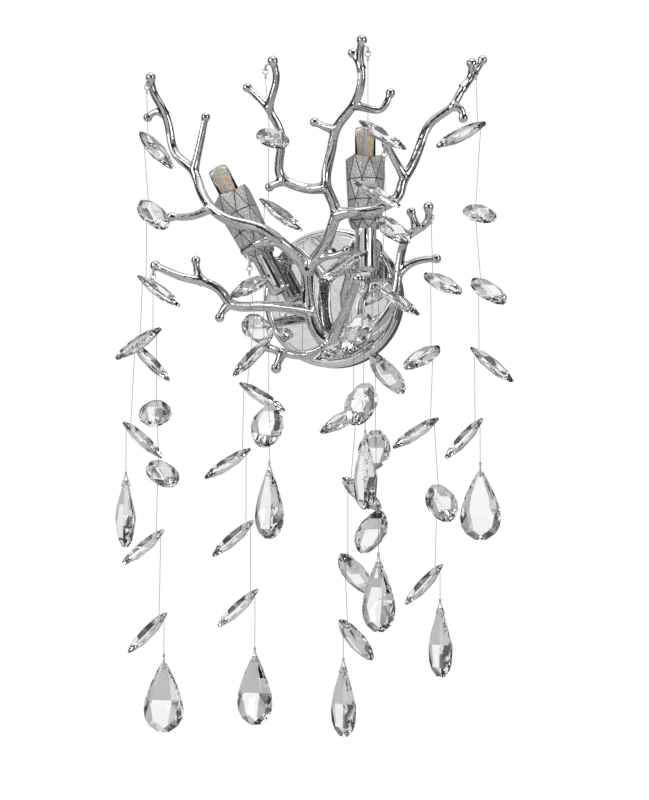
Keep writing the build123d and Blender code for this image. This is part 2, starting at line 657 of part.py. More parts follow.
def leaf_axes(side, turn, droop):
    """The directions of a hanging leaf: along it and up through its hole."""
    along = Vector(
        side * cos(radians(turn)) * cos(radians(droop)), -sin(radians(turn)) * cos(radians(droop)),
        -sin(radians(droop)),
    )
    level = Vector(0, 0, 1).cross(along).normalized()
    return along, along.cross(level)


def hole_half_length():
    """Half the length of the hole through a leaf, from the leaf's thickness where it is drilled."""
    (_, near), (share, far) = LEAF_STATIONS[0], LEAF_STATIONS[1]
    reach = LEAF_HOLE_INSET / (share * LEAF_LENGTH)
    return (near + (far - near) * reach) * LEAF_HALF_THICKNESS


def strand(name):
    """One strand: its thread, its ring and clip with their crimps, its leaves, and where its end crystal hangs."""
    leaves, end_drop, face_turn = STRANDS[name]
    x, y, z = HOOKS[name]
    top = z - RING_OFFSET - RING_BORE_RADIUS - RING_WIRE
    route = [Vector(x, y, top - CRIMP_LENGTH)]
    crystals = []
    half = hole_half_length()
    for drop, side, turn, droop, step in leaves:
        along, up = leaf_axes(side, turn, droop)
        entry = Vector(route[-1].X + step, route[-1].Y, z - drop)
        exit_point = entry - up * (2 * half)
        route += [entry, exit_point]
        crystals.append(Plane(origin=entry - up * half, x_dir=along, z_dir=up) * leaf_crystal())
    last = route[-1]
    if face_turn is not None:
        end_drop += DROP_HOLE_INSET - CRIMP_LENGTH - CLIP_HEIGHT - CLIP_WIRE
    foot = Vector(last.X, last.Y, z - end_drop)
    route.append(foot)
    radii = [THREAD_BEND_RADIUS] * (len(route) - 2)
    path = FilletPolyline(*route, radius=radii)
    print(f"thread_{name} bend radii {radii}, length {path.length:.1f}")
    thread = sweep(ring_plane(path @ 0, path % 0, (0, 1, 0)) * polygon(THREAD_RADIUS, THREAD_SIDES), path=path)
    flat = Plane(origin=(x, y, z - RING_OFFSET), x_dir=(1, 0, 0), z_dir=(0, 1, 0))
    ring_face = flat * (polygon(RING_BORE_RADIUS + RING_WIRE, 10) - polygon(RING_BORE_RADIUS, 10))
    ring = extrude(ring_face, RING_WIRE / 2, both=True)
    fittings = [ring + crimp(x, y, top - CRIMP_LENGTH, CRIMP_LENGTH + 0.3)]
    low = crimp(foot.X, foot.Y, foot.Z - CRIMP_LENGTH, CRIMP_LENGTH)
    hang = None
    if face_turn is None:
        fittings.append(low)
    else:
        bar = foot.Z - CRIMP_LENGTH - CLIP_HEIGHT - CLIP_WIRE
        face = radians(face_turn)
        hang = Plane(origin=(foot.X, foot.Y, bar), x_dir=(cos(face), -sin(face), 0), z_dir=(0, 0, 1))
        fittings.append(low + hang * clip())
    return thread, fittings, crystals, hang


def crimp(x, y, foot, length):
    return Plane(origin=(x, y, foot)) * extrude(polygon(CRIMP_RADIUS, 6), length)


def clip():
    """A triangular wire clip, its lower bar along Y through the origin."""
    rise = CLIP_HEIGHT / CLIP_HALF_WIDTH
    side = CLIP_WIRE * hypot(1, rise)
    outer_half = CLIP_HALF_WIDTH + (side + CLIP_WIRE) / rise
    outer = Polygon(
        (-outer_half, -CLIP_WIRE / 2), (outer_half, -CLIP_WIRE / 2), (0, CLIP_WIRE / 2 + CLIP_HEIGHT + side),
        align=None,
    )
    inner = Polygon(
        (-CLIP_HALF_WIDTH, CLIP_WIRE / 2), (CLIP_HALF_WIDTH, CLIP_WIRE / 2), (0, CLIP_WIRE / 2 + CLIP_HEIGHT),
        align=None,
    )
    flat = Plane(origin=(0, 0, 0), x_dir=(0, 1, 0), z_dir=(1, 0, 0))
    return extrude(flat * (outer - inner), CLIP_WIRE / 2, both=True)


def main():
    os.makedirs("parts", exist_ok=True)
    parts = {
        "canopy": canopy(),
        "wall_bracket": wall_bracket(),
        "canopy_screws": canopy_screws(),
        "terminal_block": terminal_block(),
    }
    post = hub_post()
    stem = trunk(post)
    parts["hub_post"] = post
    parts["trunk"] = stem
    parts["branch_upper_left"] = seat(branch_upper_left(), stem)
    parts["branch_centre"] = seat(branch_centre(), stem, parts["branch_upper_left"])
    parts["branch_tall_right"] = seat(branch_tall_right(), parts["branch_centre"])
    parts["branch_left"] = seat(branch_left(), stem)
    parts["branch_lower_left"] = seat(branch_lower_left(), stem, post)
    parts["branch_short_right"] = seat(branch_short_right(), stem, post)
    parts["branch_inner"] = seat(branch_inner(), stem, post, parts["branch_short_right"])
    places = [lamp_place(LAMP_LEFT_FOOT, LAMP_LEFT_AXIS), lamp_place(LAMP_RIGHT_FOOT, LAMP_RIGHT_AXIS)]
    tubes = [place * lamp_tube() for place in places]
    parts["lamp_arms"] = lamp_arms(places)
    parts["lamp_tubes"] = tubes
    parts["lamp_sleeves"] = [place * lamp_sleeve() for place in places]
    parts["lamp_sockets"] = [place * lamp_socket() for place in places]
    for side, place in zip(("left", "right"), places):
        parts[f"bulb_{side}_capsule"] = place * bulb_capsule()
        parts[f"bulb_{side}_core"] = place * bulb_core()
    for name in STRANDS:
        thread, fittings, crystals, hang = strand(name)
        parts[f"thread_{name}"] = thread
        parts[f"fittings_{name}"] = fittings
        parts[f"leaves_{name}"] = crystals
        if hang is not None:
            parts[f"drop_{name}"] = hang * drop_crystal()
    for name, piece in parts.items():
        shape = Compound(children=piece) if isinstance(piece, list) else piece
        export_step(shape, f"parts/{name}.step")


main()
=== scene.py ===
# Looks for the crystal wall sconce: a cast chrome tree on a round mirror canopy, two clear capsule lamps
# in crimped sleeves, and ten strands of cut crystals on fine thread. Lengths are in millimetres, in the
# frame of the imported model, and become metres where a mesh, a curve, a camera or a lamp is made.
import bmesh
import bpy
import math
import numpy as np
from collections import namedtuple
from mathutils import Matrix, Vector


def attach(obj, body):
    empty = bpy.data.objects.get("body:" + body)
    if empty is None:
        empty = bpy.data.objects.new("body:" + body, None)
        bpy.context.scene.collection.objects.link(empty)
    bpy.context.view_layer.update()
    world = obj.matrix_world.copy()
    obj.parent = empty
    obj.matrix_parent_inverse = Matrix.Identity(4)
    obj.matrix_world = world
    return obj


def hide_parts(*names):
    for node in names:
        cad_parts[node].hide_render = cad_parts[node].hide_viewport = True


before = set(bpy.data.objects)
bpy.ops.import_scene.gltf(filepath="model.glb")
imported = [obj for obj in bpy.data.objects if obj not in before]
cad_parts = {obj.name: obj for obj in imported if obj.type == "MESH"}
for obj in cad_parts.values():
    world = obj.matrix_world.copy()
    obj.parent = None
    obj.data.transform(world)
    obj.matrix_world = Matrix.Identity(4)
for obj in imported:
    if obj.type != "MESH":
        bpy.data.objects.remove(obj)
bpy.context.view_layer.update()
MM = 0.001

# ---- sizes and places repeated from the part's source ----
CANOPY_RADIUS = 55.0
CANOPY_DEPTH = 26.0
HUB = (4.0, -52.0, -41.0)
RING_BORE_RADIUS = 1.7
RING_WIRE = 0.8
RING_OFFSET = 0.8
CRIMP_LENGTH = 3.0
LEAF_LENGTH = 42.0
LEAF_HALF_WIDTH = 12.5
LEAF_HALF_THICKNESS = 4.6
LEAF_HOLE_INSET = 5.5
LEAF_HOLE_HALF_LENGTH = 2.643
DROP_LENGTH = 52.0
DROP_HALF_WIDTH = 15.6
DROP_HALF_THICKNESS = 5.6
DROP_HOLE_INSET = 4.3
CLIP_HEIGHT = 7.6
CLIP_HALF_WIDTH = 3.1
CLIP_WIRE = 0.8
THREAD_DIAMETER = 0.4
TUBE_RADIUS = 8.4
TUBE_LENGTH = 57.0
# Rings of a sleeve's corners: height above its start, and radius.
SLEEVE_RINGS = ((0.0, 8.4), (1.2, 11.0), (7.0, 13.4), (23.0, 14.4), (39.0, 15.2), (55.0, 15.9))
SLEEVE_START = 32.0
SLEEVE_SIDES = 8
SLEEVE_PETAL = 2.5
SOCKET_FACE = 58.5
BULB_RADIUS = 8.0
BULB_LENGTH = 54.0
# Each lamp's foot and the direction that it points in.
LAMPS = {
    "left": ((-34.0, -55.0, 1.0), (-52.0, 0.0, 99.0)),
    "right": ((34.0, -62.0, 15.0), (0.0, 0.0, 1.0)),
}
BUD_SETBACK = 2.4
APPROACH_SETBACK = 6.0
APPROACH_LEAN = 1.4
APPROACH_DROP = 3.0
BUD_RADIUS = 4.2
TWIG_BUD_RADIUS = 3.8

# Each strand: where it hangs, and the step from there to the centre of its bud (sideways and up); the length of
# its thread from crimp to crimp; how far below the hook its end crystal's top hangs, and the turn of its face;
# and its leaves from the top down, as (drop below the hook, +1 points right or -1 left, turn towards the room
# in degrees, droop in degrees, step of the thread to the right above it). Strand five ends in a crimp alone.
Strand = namedtuple("Strand", "hook bud_step thread_length end_drop face_turn leaves")
STRANDS = {
    "one": Strand((-140, -70, 166), (2.4, 7.3), 305, 312, 50, [
        (39, 1, 20, 48, 1), (92, 1, 50, 40, 4), (152, 1, 5, 36, 0), (206, 1, -15, 45, -2), (268, 1, -20, 42, -3),
    ]),
    "two": Strand((-125, -101, 11), (1, 7.6), 288, 297, 0, [
        (42, -1, 5, 34, 0), (97, 1, 78, 30, 0), (143, 1, 60, 29, 2), (197, -1, 15, 40, -1), (261, -1, 15, 46, -1),
    ]),
    "three": Strand((-36, -104, 166), (5, 7.6), 297, 305, 35, [
        (45, 1, 65, 30, 3), (100, 1, 10, 38, 0), (157, -1, 60, 28, -2), (206, -1, 20, 46, 0), (259, 1, 86, 50, 0),
    ]),
    "four": Strand((-55, -75, 19), (-4, 13), 292, 300, 20, [
        (38, 1, -92, 26, 4), (91, 1, -12, 32, -5), (142, -1, 10, 33, -1), (198, -1, 15, 41, 0), (251, -1, 10, 43, 0),
    ]),
    "five": Strand((44, -108, 175), (-5, 10.5), 158, 162, None, [
        (53, 1, 4, 33, 0), (98, 1, 6, 30, -2), (151, -1, 10, 35, 0),
    ]),
    "six": Strand((41, -121, -6), (-3, 8), 101, 111, 50, [
        (20, -1, 74, 50, 0), (72, -1, 84, 50, 0),
    ]),
    "seven": Strand((54, -93, 101), (1.5, 7.1), 301, 309, 30, [
        (49, 1, 50, 36, 1), (101, 1, 6, 35, -1), (155, 1, -55, 43, 0), (213, -1, -75, 42, 0), (274, -1, -55, 48, 0),
    ]),
    "eight": Strand((86, -66, 56), (-2.5, 7.5), 291, 300, 50, [
        (44, 1, 45, 27, 1), (100, -1, 64, 28, 0), (156, -1, 4, 33, -2), (208, 1, 68, 41, 3), (269, -1, 8, 47, -2),
    ]),
    "nine": Strand((121, -65, 167), (-3.6, 7.1), 298, 307, 0, [
        (40, -1, 5, 25, 1), (103, 1, 70, 26, -4), (160, 1, 52, 33, 4), (214, 1, 6, 40, 0), (269, -1, 8, 47, 0),
    ]),
    "ten": Strand((25, -74, 11), (-3, 8), 291, 299, 45, [
        (49, -1, 48, 24, 0), (103, -1, 50, 28, 0), (157, 1, -50, 36, -4), (216, 1, -62, 46, 0), (266, 1, -48, 48, 2),
    ]),
}


def bud(name):
    """The centre of the swollen tip above a hook."""
    x, y, z = STRANDS[name].hook
    aside, rise = STRANDS[name].bud_step
    return (x + aside, y + BUD_SETBACK, z + rise)


def behind(name):
    """A point of the branch on its way up behind the ring."""
    x, y, z = STRANDS[name].hook
    return (x + APPROACH_LEAN * STRANDS[name].bud_step[0], y + APPROACH_SETBACK, z - APPROACH_DROP)


# Each limb: its points, its radius at the root and at the neck, and the radius of its tip where it isn't a
# twig's. The stem ends in a fork and has no tip.
LIMBS = [
    ([HUB, (-5, -54, -30), (-11, -57, -10), (-12, -62, 19)], 6.2, 4.9, None),
    ([(-12, -62, 17), (-17, -67, 25), (-27, -76, 35), (-45, -82, 48), (-67, -82, 54), (-85, -78, 66),
      (-96, -70, 82), (-104, -64, 99), (-113, -61, 107), (-119, -60, 113), (-124, -60, 132),
      (-129, -63, 149), behind("one"), bud("one")], 4.6, 2.9, BUD_RADIUS),
    ([(-85, -78, 66), (-98, -80, 60), (-116, -82, 59)], 3.2, 2.6),
    ([(-103, -64, 98), (-98, -65, 118), (-93, -66, 140)], 3.2, 2.4),
    ([(-126, -61, 143), (-135, -61, 147), (-142, -60, 143)], 2.8, 2.2),
    ([(-29, -77, 37), (-39, -80, 38), (-49, -79, 36), bud("four")], 3.6, 2.8, BUD_RADIUS),
    ([(-12, -62, 17), (-3, -66, 28), (4, -71, 35), (11, -76, 50), (14, -79, 59), (7, -80, 79),
      (11, -82, 107), (16, -86, 123), (27, -92, 135), (35, -98, 146), (38, -101, 160),
      behind("five"), bud("five")], 4.6, 2.8, BUD_RADIUS),
    ([(7, -80, 79), (-3, -78, 78), (-15, -77, 80), (-29, -78, 88), (-29, -82, 108), (-30, -88, 127),
      (-35, -92, 138), (-33, -95, 147), behind("three"), bud("three")], 4.0, 2.6, BUD_RADIUS),
    ([(-27, -78, 85), (-34, -77, 83), (-39, -76, 81)], 3.0, 2.3),
    ([(-35, -92, 139), (-42, -90, 146), (-54, -88, 157)], 3.0, 2.3),
    ([(14, -85, 122), (6, -84, 125), (-2, -83, 129)], 3.0, 2.3),
    ([(30, -95, 139), (41, -92, 136), (50, -90, 135), (58, -88, 148)], 3.0, 2.3),
    ([(38, -101, 164), (35, -101, 171), (31, -101, 177)], 2.6, 2.2),
    ([(-8, -64, 21), (4, -70, 26), (14, -74, 27), (22, -76, 30)], 3.0, 2.3),
    ([(15, -79, 57), (24, -83, 58), (34, -84, 58), (43, -83, 59), (51, -82, 62), (58, -79, 66),
      (63, -77, 72), (65, -76, 80), (70, -74, 90), (80, -72, 114), (87, -70, 128), (103, -67, 141),
      (110, -63, 154), behind("nine"), bud("nine")], 4.2, 2.7, BUD_RADIUS),
    ([(67, -75, 85), (61, -81, 96), bud("seven")], 3.2, 2.5, BUD_RADIUS),
    ([(102, -68, 140), (109, -67, 138), (111, -66, 131)], 2.8, 2.2),
    ([(110, -62, 155), (119, -57, 168), (125, -56, 178)], 2.8, 2.2),
    ([(-11, -57, -15), (-23, -66, -13), (-38, -76, -12), (-55, -86, -13), (-66, -92, -11), (-72, -95, -3),
      (-85, -98, 5), (-101, -100, 9), (-114, -100, 14), bud("two")], 4.4, 2.8, BUD_RADIUS),
    ([(-66, -92, -11), (-71, -93, -16), (-74, -94, -22)], 3.0, 2.3),
    ([(-85, -98, 4), (-90, -98, 12), (-92, -98, 22)], 3.0, 2.3),
    ([HUB, (-14, -62, -49), (-28, -70, -48), (-40, -76, -44)], 4.0, 2.9),
    ([(-29, -71, -47), (-32, -73, -54), (-34, -74, -60)], 3.0, 2.6, BUD_RADIUS),
    ([HUB, (21, -56, -36), (37, -57, -29), (48, -57, -19), (56, -57, -5), (59, -57, 16), (62, -58, 32),
      (66, -60, 41), behind("eight"), bud("eight")], 4.6, 2.8, BUD_RADIUS),
    ([(59, -57, 14), (70, -54, 22), (88, -51, 25)], 3.2, 2.4),
    ([(74, -61, 47), (72, -62, 54), (70, -63, 60)], 3.0, 2.3),
    ([HUB, (14, -56, -26), (18, -60, -12), (18, -65, 0), behind("ten"), bud("ten")], 4.8, 2.6, BUD_RADIUS),
    ([HUB, (15, -70, -25), (27, -93, -11), bud("six")], 4.2, 3.0, BUD_RADIUS),
]
# The CAD solids that the casting stands for.
TREE_NODES = (
    "trunk", "branch_upper_left", "branch_centre", "branch_tall_right", "branch_left", "branch_lower_left",
    "branch_short_right", "branch_inner",
)
HUNG_TIPS = [bud(name) for name in STRANDS]
# Tips with an open hole and no ring.
FREE_TIPS = [limb[0][-1] for limb in LIMBS if limb[-1] is not None and limb[0][-1] not in HUNG_TIPS]
# The arms behind the lamps, right and left.
LAMP_ARMS = [
    [(34, -62, 39), (40, -48, 38), (39, -36, 35), (34, -25, 32)],
    [(-46, -55, 24), (-40, -44, 27), (-38, -35, 28), (-37, -25, 27)],
]

# ---- sizes of the looks alone ----
# A turned outline stops this short of its axis.
POST_BORE = 0.2
CUP_BORE = 0.3
CAPSULE_BORE = 0.15

PHOTO_BEARING = math.radians(11.0)
PHOTO_RISE = math.radians(3.5)
PHOTO_DISTANCE = 1500.0
PHOTO_TARGET = (-0.6, -50.0, -83.5)
PHOTO_LENS = 86.5
PHOTO_SENSOR = 36.0

HUB_BALL_RADIUS = 8.2
LIMB_SIDES = 20
LIMB_COAT = 0.1
FORK_FLARE = 1.3
FORK_FLARE_LENGTH = 4.5
NECK_SHARE = 0.62  # a neck is at least this share of its tip's radius
FLUTE_DEPTH = 0.055
FLUTE_TURN = 1.7
TIP_SQUASH = (1.0, 0.86, 1.0)
TREE_VOXEL = 0.8
TREE_EASE = 0.5
TREE_EASE_ROUNDS = 7
TIP_HOLE_RADIUS = 0.8
TIP_HOLE_LENGTH = 7.2
TIP_HOLE_BEVEL = 0.25
EYE_RADIUS = 1.9
EYE_WIRE_RADIUS = 0.6
EYE_SHANK_RADIUS = 0.75

CANOPY_SIDES = 160
CANOPY_WALL = 1.2
BEAD_HEIGHT = 18.0
BEAD = ((-1.4, 0), (-0.8, 0.7), (0, 0.9), (0.8, 0.7), (1.4, 0))
HUB_PLATE_RADIUS = 6.0
ROD_TAIL = 17.8
ROD_RADIUS = 3.0
NUT_SPAN = (19.8, 24.8)
NUT_RADIUS = 5.6
POST_END = 52.0
POST_RADIUS = 5.0
LAMP_ARM_RADIUS = 3.9

CUP_WALL = 0.8
CUP_FLOOR = 33.0
CUP_ROUNDING = 4.0
CREASE_DEPTH = 0.55
CREASE_HALF_WIDTH = 0.32
SLEEVE_WALL = 1.0
PLATE_RISE = 0.38
PLATE_CROWN = 0.8  # the middle of a plate stands this share of its rise above its rim
SEAT_RISE = 1.2
SEAT_CLEARANCE = 0.1

BULB_FOOT = SOCKET_FACE + 4.0
BULB_TOP = SOCKET_FACE + BULB_LENGTH
CAPSULE_WALL = 0.8
CAPSULE_ROUNDING = 2.6
PLUG_TOP = BULB_FOOT + 8.6
PLUG_RADIUS = 7.0
PIN_LENGTH = 6.0
PIN_OFFSET = 4.5
PIN_RADIUS = 0.5
BOARD_TOP = BULB_TOP - 2.4
BOARD_HALF_WIDTH = 4.9
BOARD_COUNT = 4
CHIP_ROWS = 6
CHIP_PITCH = 5.0
CHIP_FIRST = 3.0
CHIP_HALF_WIDTH = 1.6
CHIP_HALF_THICKNESS = 0.3

CLIP_SPREAD = 0.6
CLIP_CORNER = 0.5
CLIP_NECK = 0.35
CLIP_OVERLAP = 0.9
THREAD_MOUTH = 6 * THREAD_DIAMETER  # how far from a hole a run gets one more point
LONG_RUN = 8 * THREAD_MOUTH  # a shorter run gets none

SQUARE = np.array([(-1, -1), (1, -1), (1, 1), (-1, 1)])
BLOCK_FACES = [[0, 1, 5, 4], [1, 2, 6, 5], [2, 3, 7, 6], [3, 0, 4, 7], [3, 2, 1, 0], [4, 5, 6, 7]]


# ---- common steps ----
def add_object(name, data):
    """A new object in the scene."""
    thing = bpy.data.objects.new(name, data)
    bpy.context.scene.collection.objects.link(thing)
    return thing


def aim(thing, place, target):
    """Puts a camera or a lamp at its place and turns it to a target."""
    thing.location = Vector(place) * MM
    thing.rotation_euler = (Vector(target) * MM - thing.location).to_track_quat("-Z", "Y").to_euler()


def unit(vectors):
    """Each vector at a length of one."""
    vectors = np.asarray(vectors, float)
    return vectors / np.linalg.norm(vectors, axis=-1, keepdims=True)


def distance_along(points):
    """How far along a run of points each of them lies."""
    return np.concatenate([[0], np.cumsum(np.linalg.norm(np.diff(points, axis=0), axis=1))])


def round_angles(sides):
    """Equal steps once round."""
    return np.linspace(0, 2 * math.pi, sides, endpoint=False)


def placed(corners, origin, *directions):
    """Corners given along two or three directions from an origin."""
    return origin + corners @ np.array(directions)


# ---- camera: set before any piece ----
def place_camera():
    """The photograph's view: from the front, a little to the right and a little below."""
    data = bpy.data.cameras.new("photo_camera")
    data.lens = PHOTO_LENS
    data.sensor_width = PHOTO_SENSOR
    data.clip_end = 50.0
    camera = add_object("photo_camera", data)
    level = math.cos(PHOTO_RISE)
    away = (math.sin(PHOTO_BEARING) * level, -math.cos(PHOTO_BEARING) * level, -math.sin(PHOTO_RISE))
    aim(camera, np.array(PHOTO_TARGET) + PHOTO_DISTANCE * np.array(away), PHOTO_TARGET)
    bpy.context.scene.camera = camera


place_camera()


# ---- finishes ----
def finish_base(name):
    """A new material, its nodes and its main shader."""
    material = bpy.data.materials.new(name)
    material.use_nodes = True
    return material, material.node_tree, material.node_tree.nodes["Principled BSDF"]


def grain(tree, scale, detail):
    """Noise over the piece's own place, in metres."""
    place = tree.nodes.new("ShaderNodeTexCoord")
    noise = tree.nodes.new("ShaderNodeTexNoise")
    noise.inputs["Scale"].default_value = scale
    noise.inputs["Detail"].default_value = detail
    tree.links.new(place.outputs["Object"], noise.inputs["Vector"])
    return noise.outputs["Fac"]


def levels(tree, source, stops):
    """A value from 0 to 1 turned into colours, or numbers, from stop to stop."""
    node = tree.nodes.new("ShaderNodeValToRGB")
    elements = node.color_ramp.elements
    while len(elements) < len(stops):
        elements.new(0.5)
    for element, (place, colour) in zip(elements, stops):
        element.position = place
        element.color = (colour, colour, colour, 1) if isinstance(colour, float) else (*colour, 1)
    tree.links.new(source, node.inputs["Fac"])
    return node.outputs["Color"]


def graded(tree, source, low, high, low_at=0.35, high_at=0.65):
    """A value turned into one between two."""
    return levels(tree, source, [(low_at, low), (high_at, high)])


def bump(tree, shader, height, strength, distance):
    """A fine relief that follows a height."""
    node = tree.nodes.new("ShaderNodeBump")
    node.inputs["Strength"].default_value = strength
    node.inputs["Distance"].default_value = distance
    tree.links.new(height, node.inputs["Height"])
    tree.links.new(node.outputs["Normal"], shader.inputs["Normal"])


def chrome(name, colour, smooth, smeared, ripple=0.0):
    """Plated metal: patches a little less bright, faint smears, and on a casting a ripple under the plating."""
    material, tree, shader = finish_base(name)
    shader.inputs["Metallic"].default_value = 1.0
    dull = [0.86 * level for level in colour]
    tree.links.new(graded(tree, grain(tree, 260.0, 5.0), dull, colour), shader.inputs["Base Color"])
    tree.links.new(graded(tree, grain(tree, 700.0, 3.0), smooth, smeared), shader.inputs["Roughness"])
    if ripple:
        bump(tree, shader, grain(tree, 150.0, 2.0), 0.5, ripple)
    return material


def crimped_metal():
    """Pale cast sheet with a sand grain, rougher and darker in its pits: the dark is painted shade that follows the
    grain's relief.
    """
    material, tree, shader = finish_base("crimped_sheet")
    shader.inputs["Metallic"].default_value = 0.45
    sand = grain(tree, 1500.0, 6.0)
    # painted shade: the colour runs from dark in the grain's low pits to pale on its raised peaks, matching the bump
    pit_shade, peaks = (0.30, 0.295, 0.285), (0.90, 0.89, 0.87)
    tree.links.new(graded(tree, sand, pit_shade, peaks, 0.38, 0.60), shader.inputs["Base Color"])
    tree.links.new(graded(tree, sand, 0.55, 0.30), shader.inputs["Roughness"])
    bump(tree, shader, sand, 0.6, 0.0004)
    return material


def clear(name, index):
    """Cut crystal or blown glass, with a faint film that varies over the surface."""
    material, tree, shader = finish_base(name)
    shader.inputs["Base Color"].default_value = (1, 1, 1, 1)
    shader.inputs["Transmission Weight"].default_value = 1.0
    shader.inputs["IOR"].default_value = index
    tree.links.new(graded(tree, grain(tree, 300.0, 3.0), 0.0, 0.02), shader.inputs["Roughness"])
    return material


def plain(name, low, high, rough, scale=900.0, metal=0.0):
    """A moulded, glazed or coated finish: two close tones and a fine grain."""
    material, tree, shader = finish_base(name)
    shader.inputs["Metallic"].default_value = metal
    mottle = grain(tree, scale, 4.0)
    tree.links.new(graded(tree, mottle, low, high), shader.inputs["Base Color"])
    tree.links.new(graded(tree, mottle, 0.8 * rough, rough), shader.inputs["Roughness"])
    bump(tree, shader, mottle, 0.4, 0.0001)
    return material


FINISHES = {
    "cast": chrome("cast_chrome", (0.66, 0.66, 0.68), 0.05, 0.12, ripple=0.0006),
    "mirror": chrome("mirror_chrome", (0.80, 0.80, 0.81), 0.015, 0.03),
    "wire": chrome("wire_chrome", (0.70, 0.70, 0.72), 0.08, 0.18),
    "zinc": plain("zinc_plate", (0.42, 0.42, 0.43), (0.62, 0.62, 0.64), 0.38, metal=1.0),
    "crimped": crimped_metal(),
    # painted shade: near-black strips laid down in the sleeves' creases
    "crease": plain("painted_crease_shade", (0.03, 0.03, 0.03), (0.10, 0.10, 0.10), 0.6),
    # painted shade: near-black pins that stand for the dark inside of the tip holes
    "drilled": plain("painted_hole_shade", (0.008, 0.008, 0.008), (0.03, 0.03, 0.03), 0.5),
    "plastic": plain("white_plastic", (0.74, 0.74, 0.72), (0.84, 0.84, 0.82), 0.45),
    "ceramic": plain("glazed_ceramic", (0.78, 0.77, 0.74), (0.87, 0.86, 0.83), 0.3),
    "board": plain("board_coat", (0.52, 0.51, 0.55), (0.68, 0.67, 0.70), 0.45),
    "chip": plain("chip_gel", (0.85, 0.50, 0.06), (0.95, 0.66, 0.16), 0.35, scale=1200.0),
    "glass": clear("capsule_glass", 1.14),
    "crystal": clear("cut_crystal", 1.6),
    "thread": plain("fine_thread", (0.14, 0.14, 0.145), (0.26, 0.26, 0.27), 0.5, scale=3000.0),
}
# CAD solids that stay as they are, in a finish of their own.
KEPT_SOLIDS = {
    "wall_bracket": "zinc", "canopy_screws": "zinc", "terminal_block": "plastic", "lamp_sockets": "ceramic",
}


# ---- surfaces: each gives its corners and its faces ----
def solid_piece(name, parts, body, finishes, nodes=(), smooth=True):
    """One object from parts of (corners, faces, finish number), riding on a body and standing for CAD solids."""
    corners, faces, numbers = [], [], []
    count = 0
    for part_corners, part_faces, number in parts:
        corners.append(np.asarray(part_corners, float) * MM)
        faces += [tuple(int(index) + count for index in face) for face in part_faces]
        numbers += [number] * len(part_faces)
        count += len(part_corners)
    mesh = bpy.data.meshes.new(name)
    mesh.from_pydata(np.concatenate(corners).tolist(), [], faces)
    mesh.polygons.foreach_set("material_index", numbers)
    mesh.polygons.foreach_set("use_smooth", [smooth] * len(faces))
    for finish in finishes:
        mesh.materials.append(FINISHES[finish])
    mesh.update()
    piece = add_object(name, mesh)
    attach(piece, body)
    if nodes:
        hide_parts(*nodes)
    return piece


def split_edges(piece, degrees):
    """Keeps a turned piece's edges crisp where its surface turns by more than this."""
    edges = piece.modifiers.new("edges", "EDGE_SPLIT")
    edges.split_angle = math.radians(degrees)


def grid_faces(rows, columns, closed_rows=False):
    """Quads of a grid whose columns close on themselves, and whose rows may."""
    row = np.arange(rows if closed_rows else rows - 1)[:, None]
    column = np.arange(columns)[None, :]
    next_row = (row + 1) % rows
    next_column = (column + 1) % columns
    quads = np.stack(np.broadcast_arrays(
        row * columns + column, row * columns + next_column,
        next_row * columns + next_column, next_row * columns + column,
    ), axis=-1)
    return quads.reshape(-1, 4).tolist()


def capped_faces(rows, columns):
    """Quads of a grid, and flat faces that close its first and its last row."""
    last = (rows - 1) * columns
    return grid_faces(rows, columns) + [list(range(columns))[::-1], list(range(last, last + columns))]


def circles_across(path, tangents, reference, reach, angle):
    """A circle across a path at each of its points, turned by a reference direction."""
    across = unit(np.cross(reference, tangents))
    up = np.cross(tangents, across)
    return (
        path[:, None, :] + (reach * np.cos(angle))[..., None] * across[:, None, :]
        + (reach * np.sin(angle))[..., None] * up[:, None, :]
    ).reshape(-1, 3)


def tube(path, radii, sides, flute=0.0, turn=0.0):
    """A round bar with closed ends: a circle across each point of the path. Flutes are shallow waves, three
    and five round the circle, whose phase drifts along the path as on a casting."""
    path = np.asarray(path, float)
    angle = round_angles(sides)[None, :]
    run = distance_along(path)[:, None]
    wave = 1 + flute * (np.sin(3 * angle + run / 9 + turn) + 0.6 * np.sin(5 * angle - run / 13 + 2 * turn))
    reach = np.broadcast_to(radii, len(path))[:, None] * wave
    corners = circles_across(path, unit(np.gradient(path, axis=0)), (0, 1, 0), reach, angle)
    return corners, capped_faces(len(path), sides)


def closed_wire(path, radius, sides):
    """A round wire along a closed flat path."""
    tangents = unit(np.roll(path, -1, 0) - np.roll(path, 1, 0))
    upright = np.cross(tangents[0], tangents[len(path) // 4])
    corners = circles_across(path, tangents, upright, radius, round_angles(sides)[None, :])
    return corners, grid_faces(len(path), sides, closed_rows=True)


def ball(centre, radius, squash=(1, 1, 1), rings=12, sides=20):
    """A sphere: rings of latitude between two poles, drawn in along the axes by squash."""
    polar = np.linspace(0, math.pi, rings + 2)[1:-1][:, None]
    angle = round_angles(sides)[None, :]
    wide = np.sin(polar)
    grid = np.stack([wide * np.cos(angle), wide * np.sin(angle), np.cos(polar) * np.ones_like(angle)], -1)
    corners = np.concatenate([grid.reshape(-1, 3), [[0, 0, 1]], [[0, 0, -1]]])
    faces = [face[::-1] for face in grid_faces(rings, sides)]
    top, bottom = rings * sides, rings * sides + 1
    last = (rings - 1) * sides
    faces += [[top, index, (index + 1) % sides] for index in range(sides)]
    faces += [[bottom, last + (index + 1) % sides, last + index] for index in range(sides)]
    return np.asarray(centre, float) + corners * radius * np.asarray(squash, float), faces


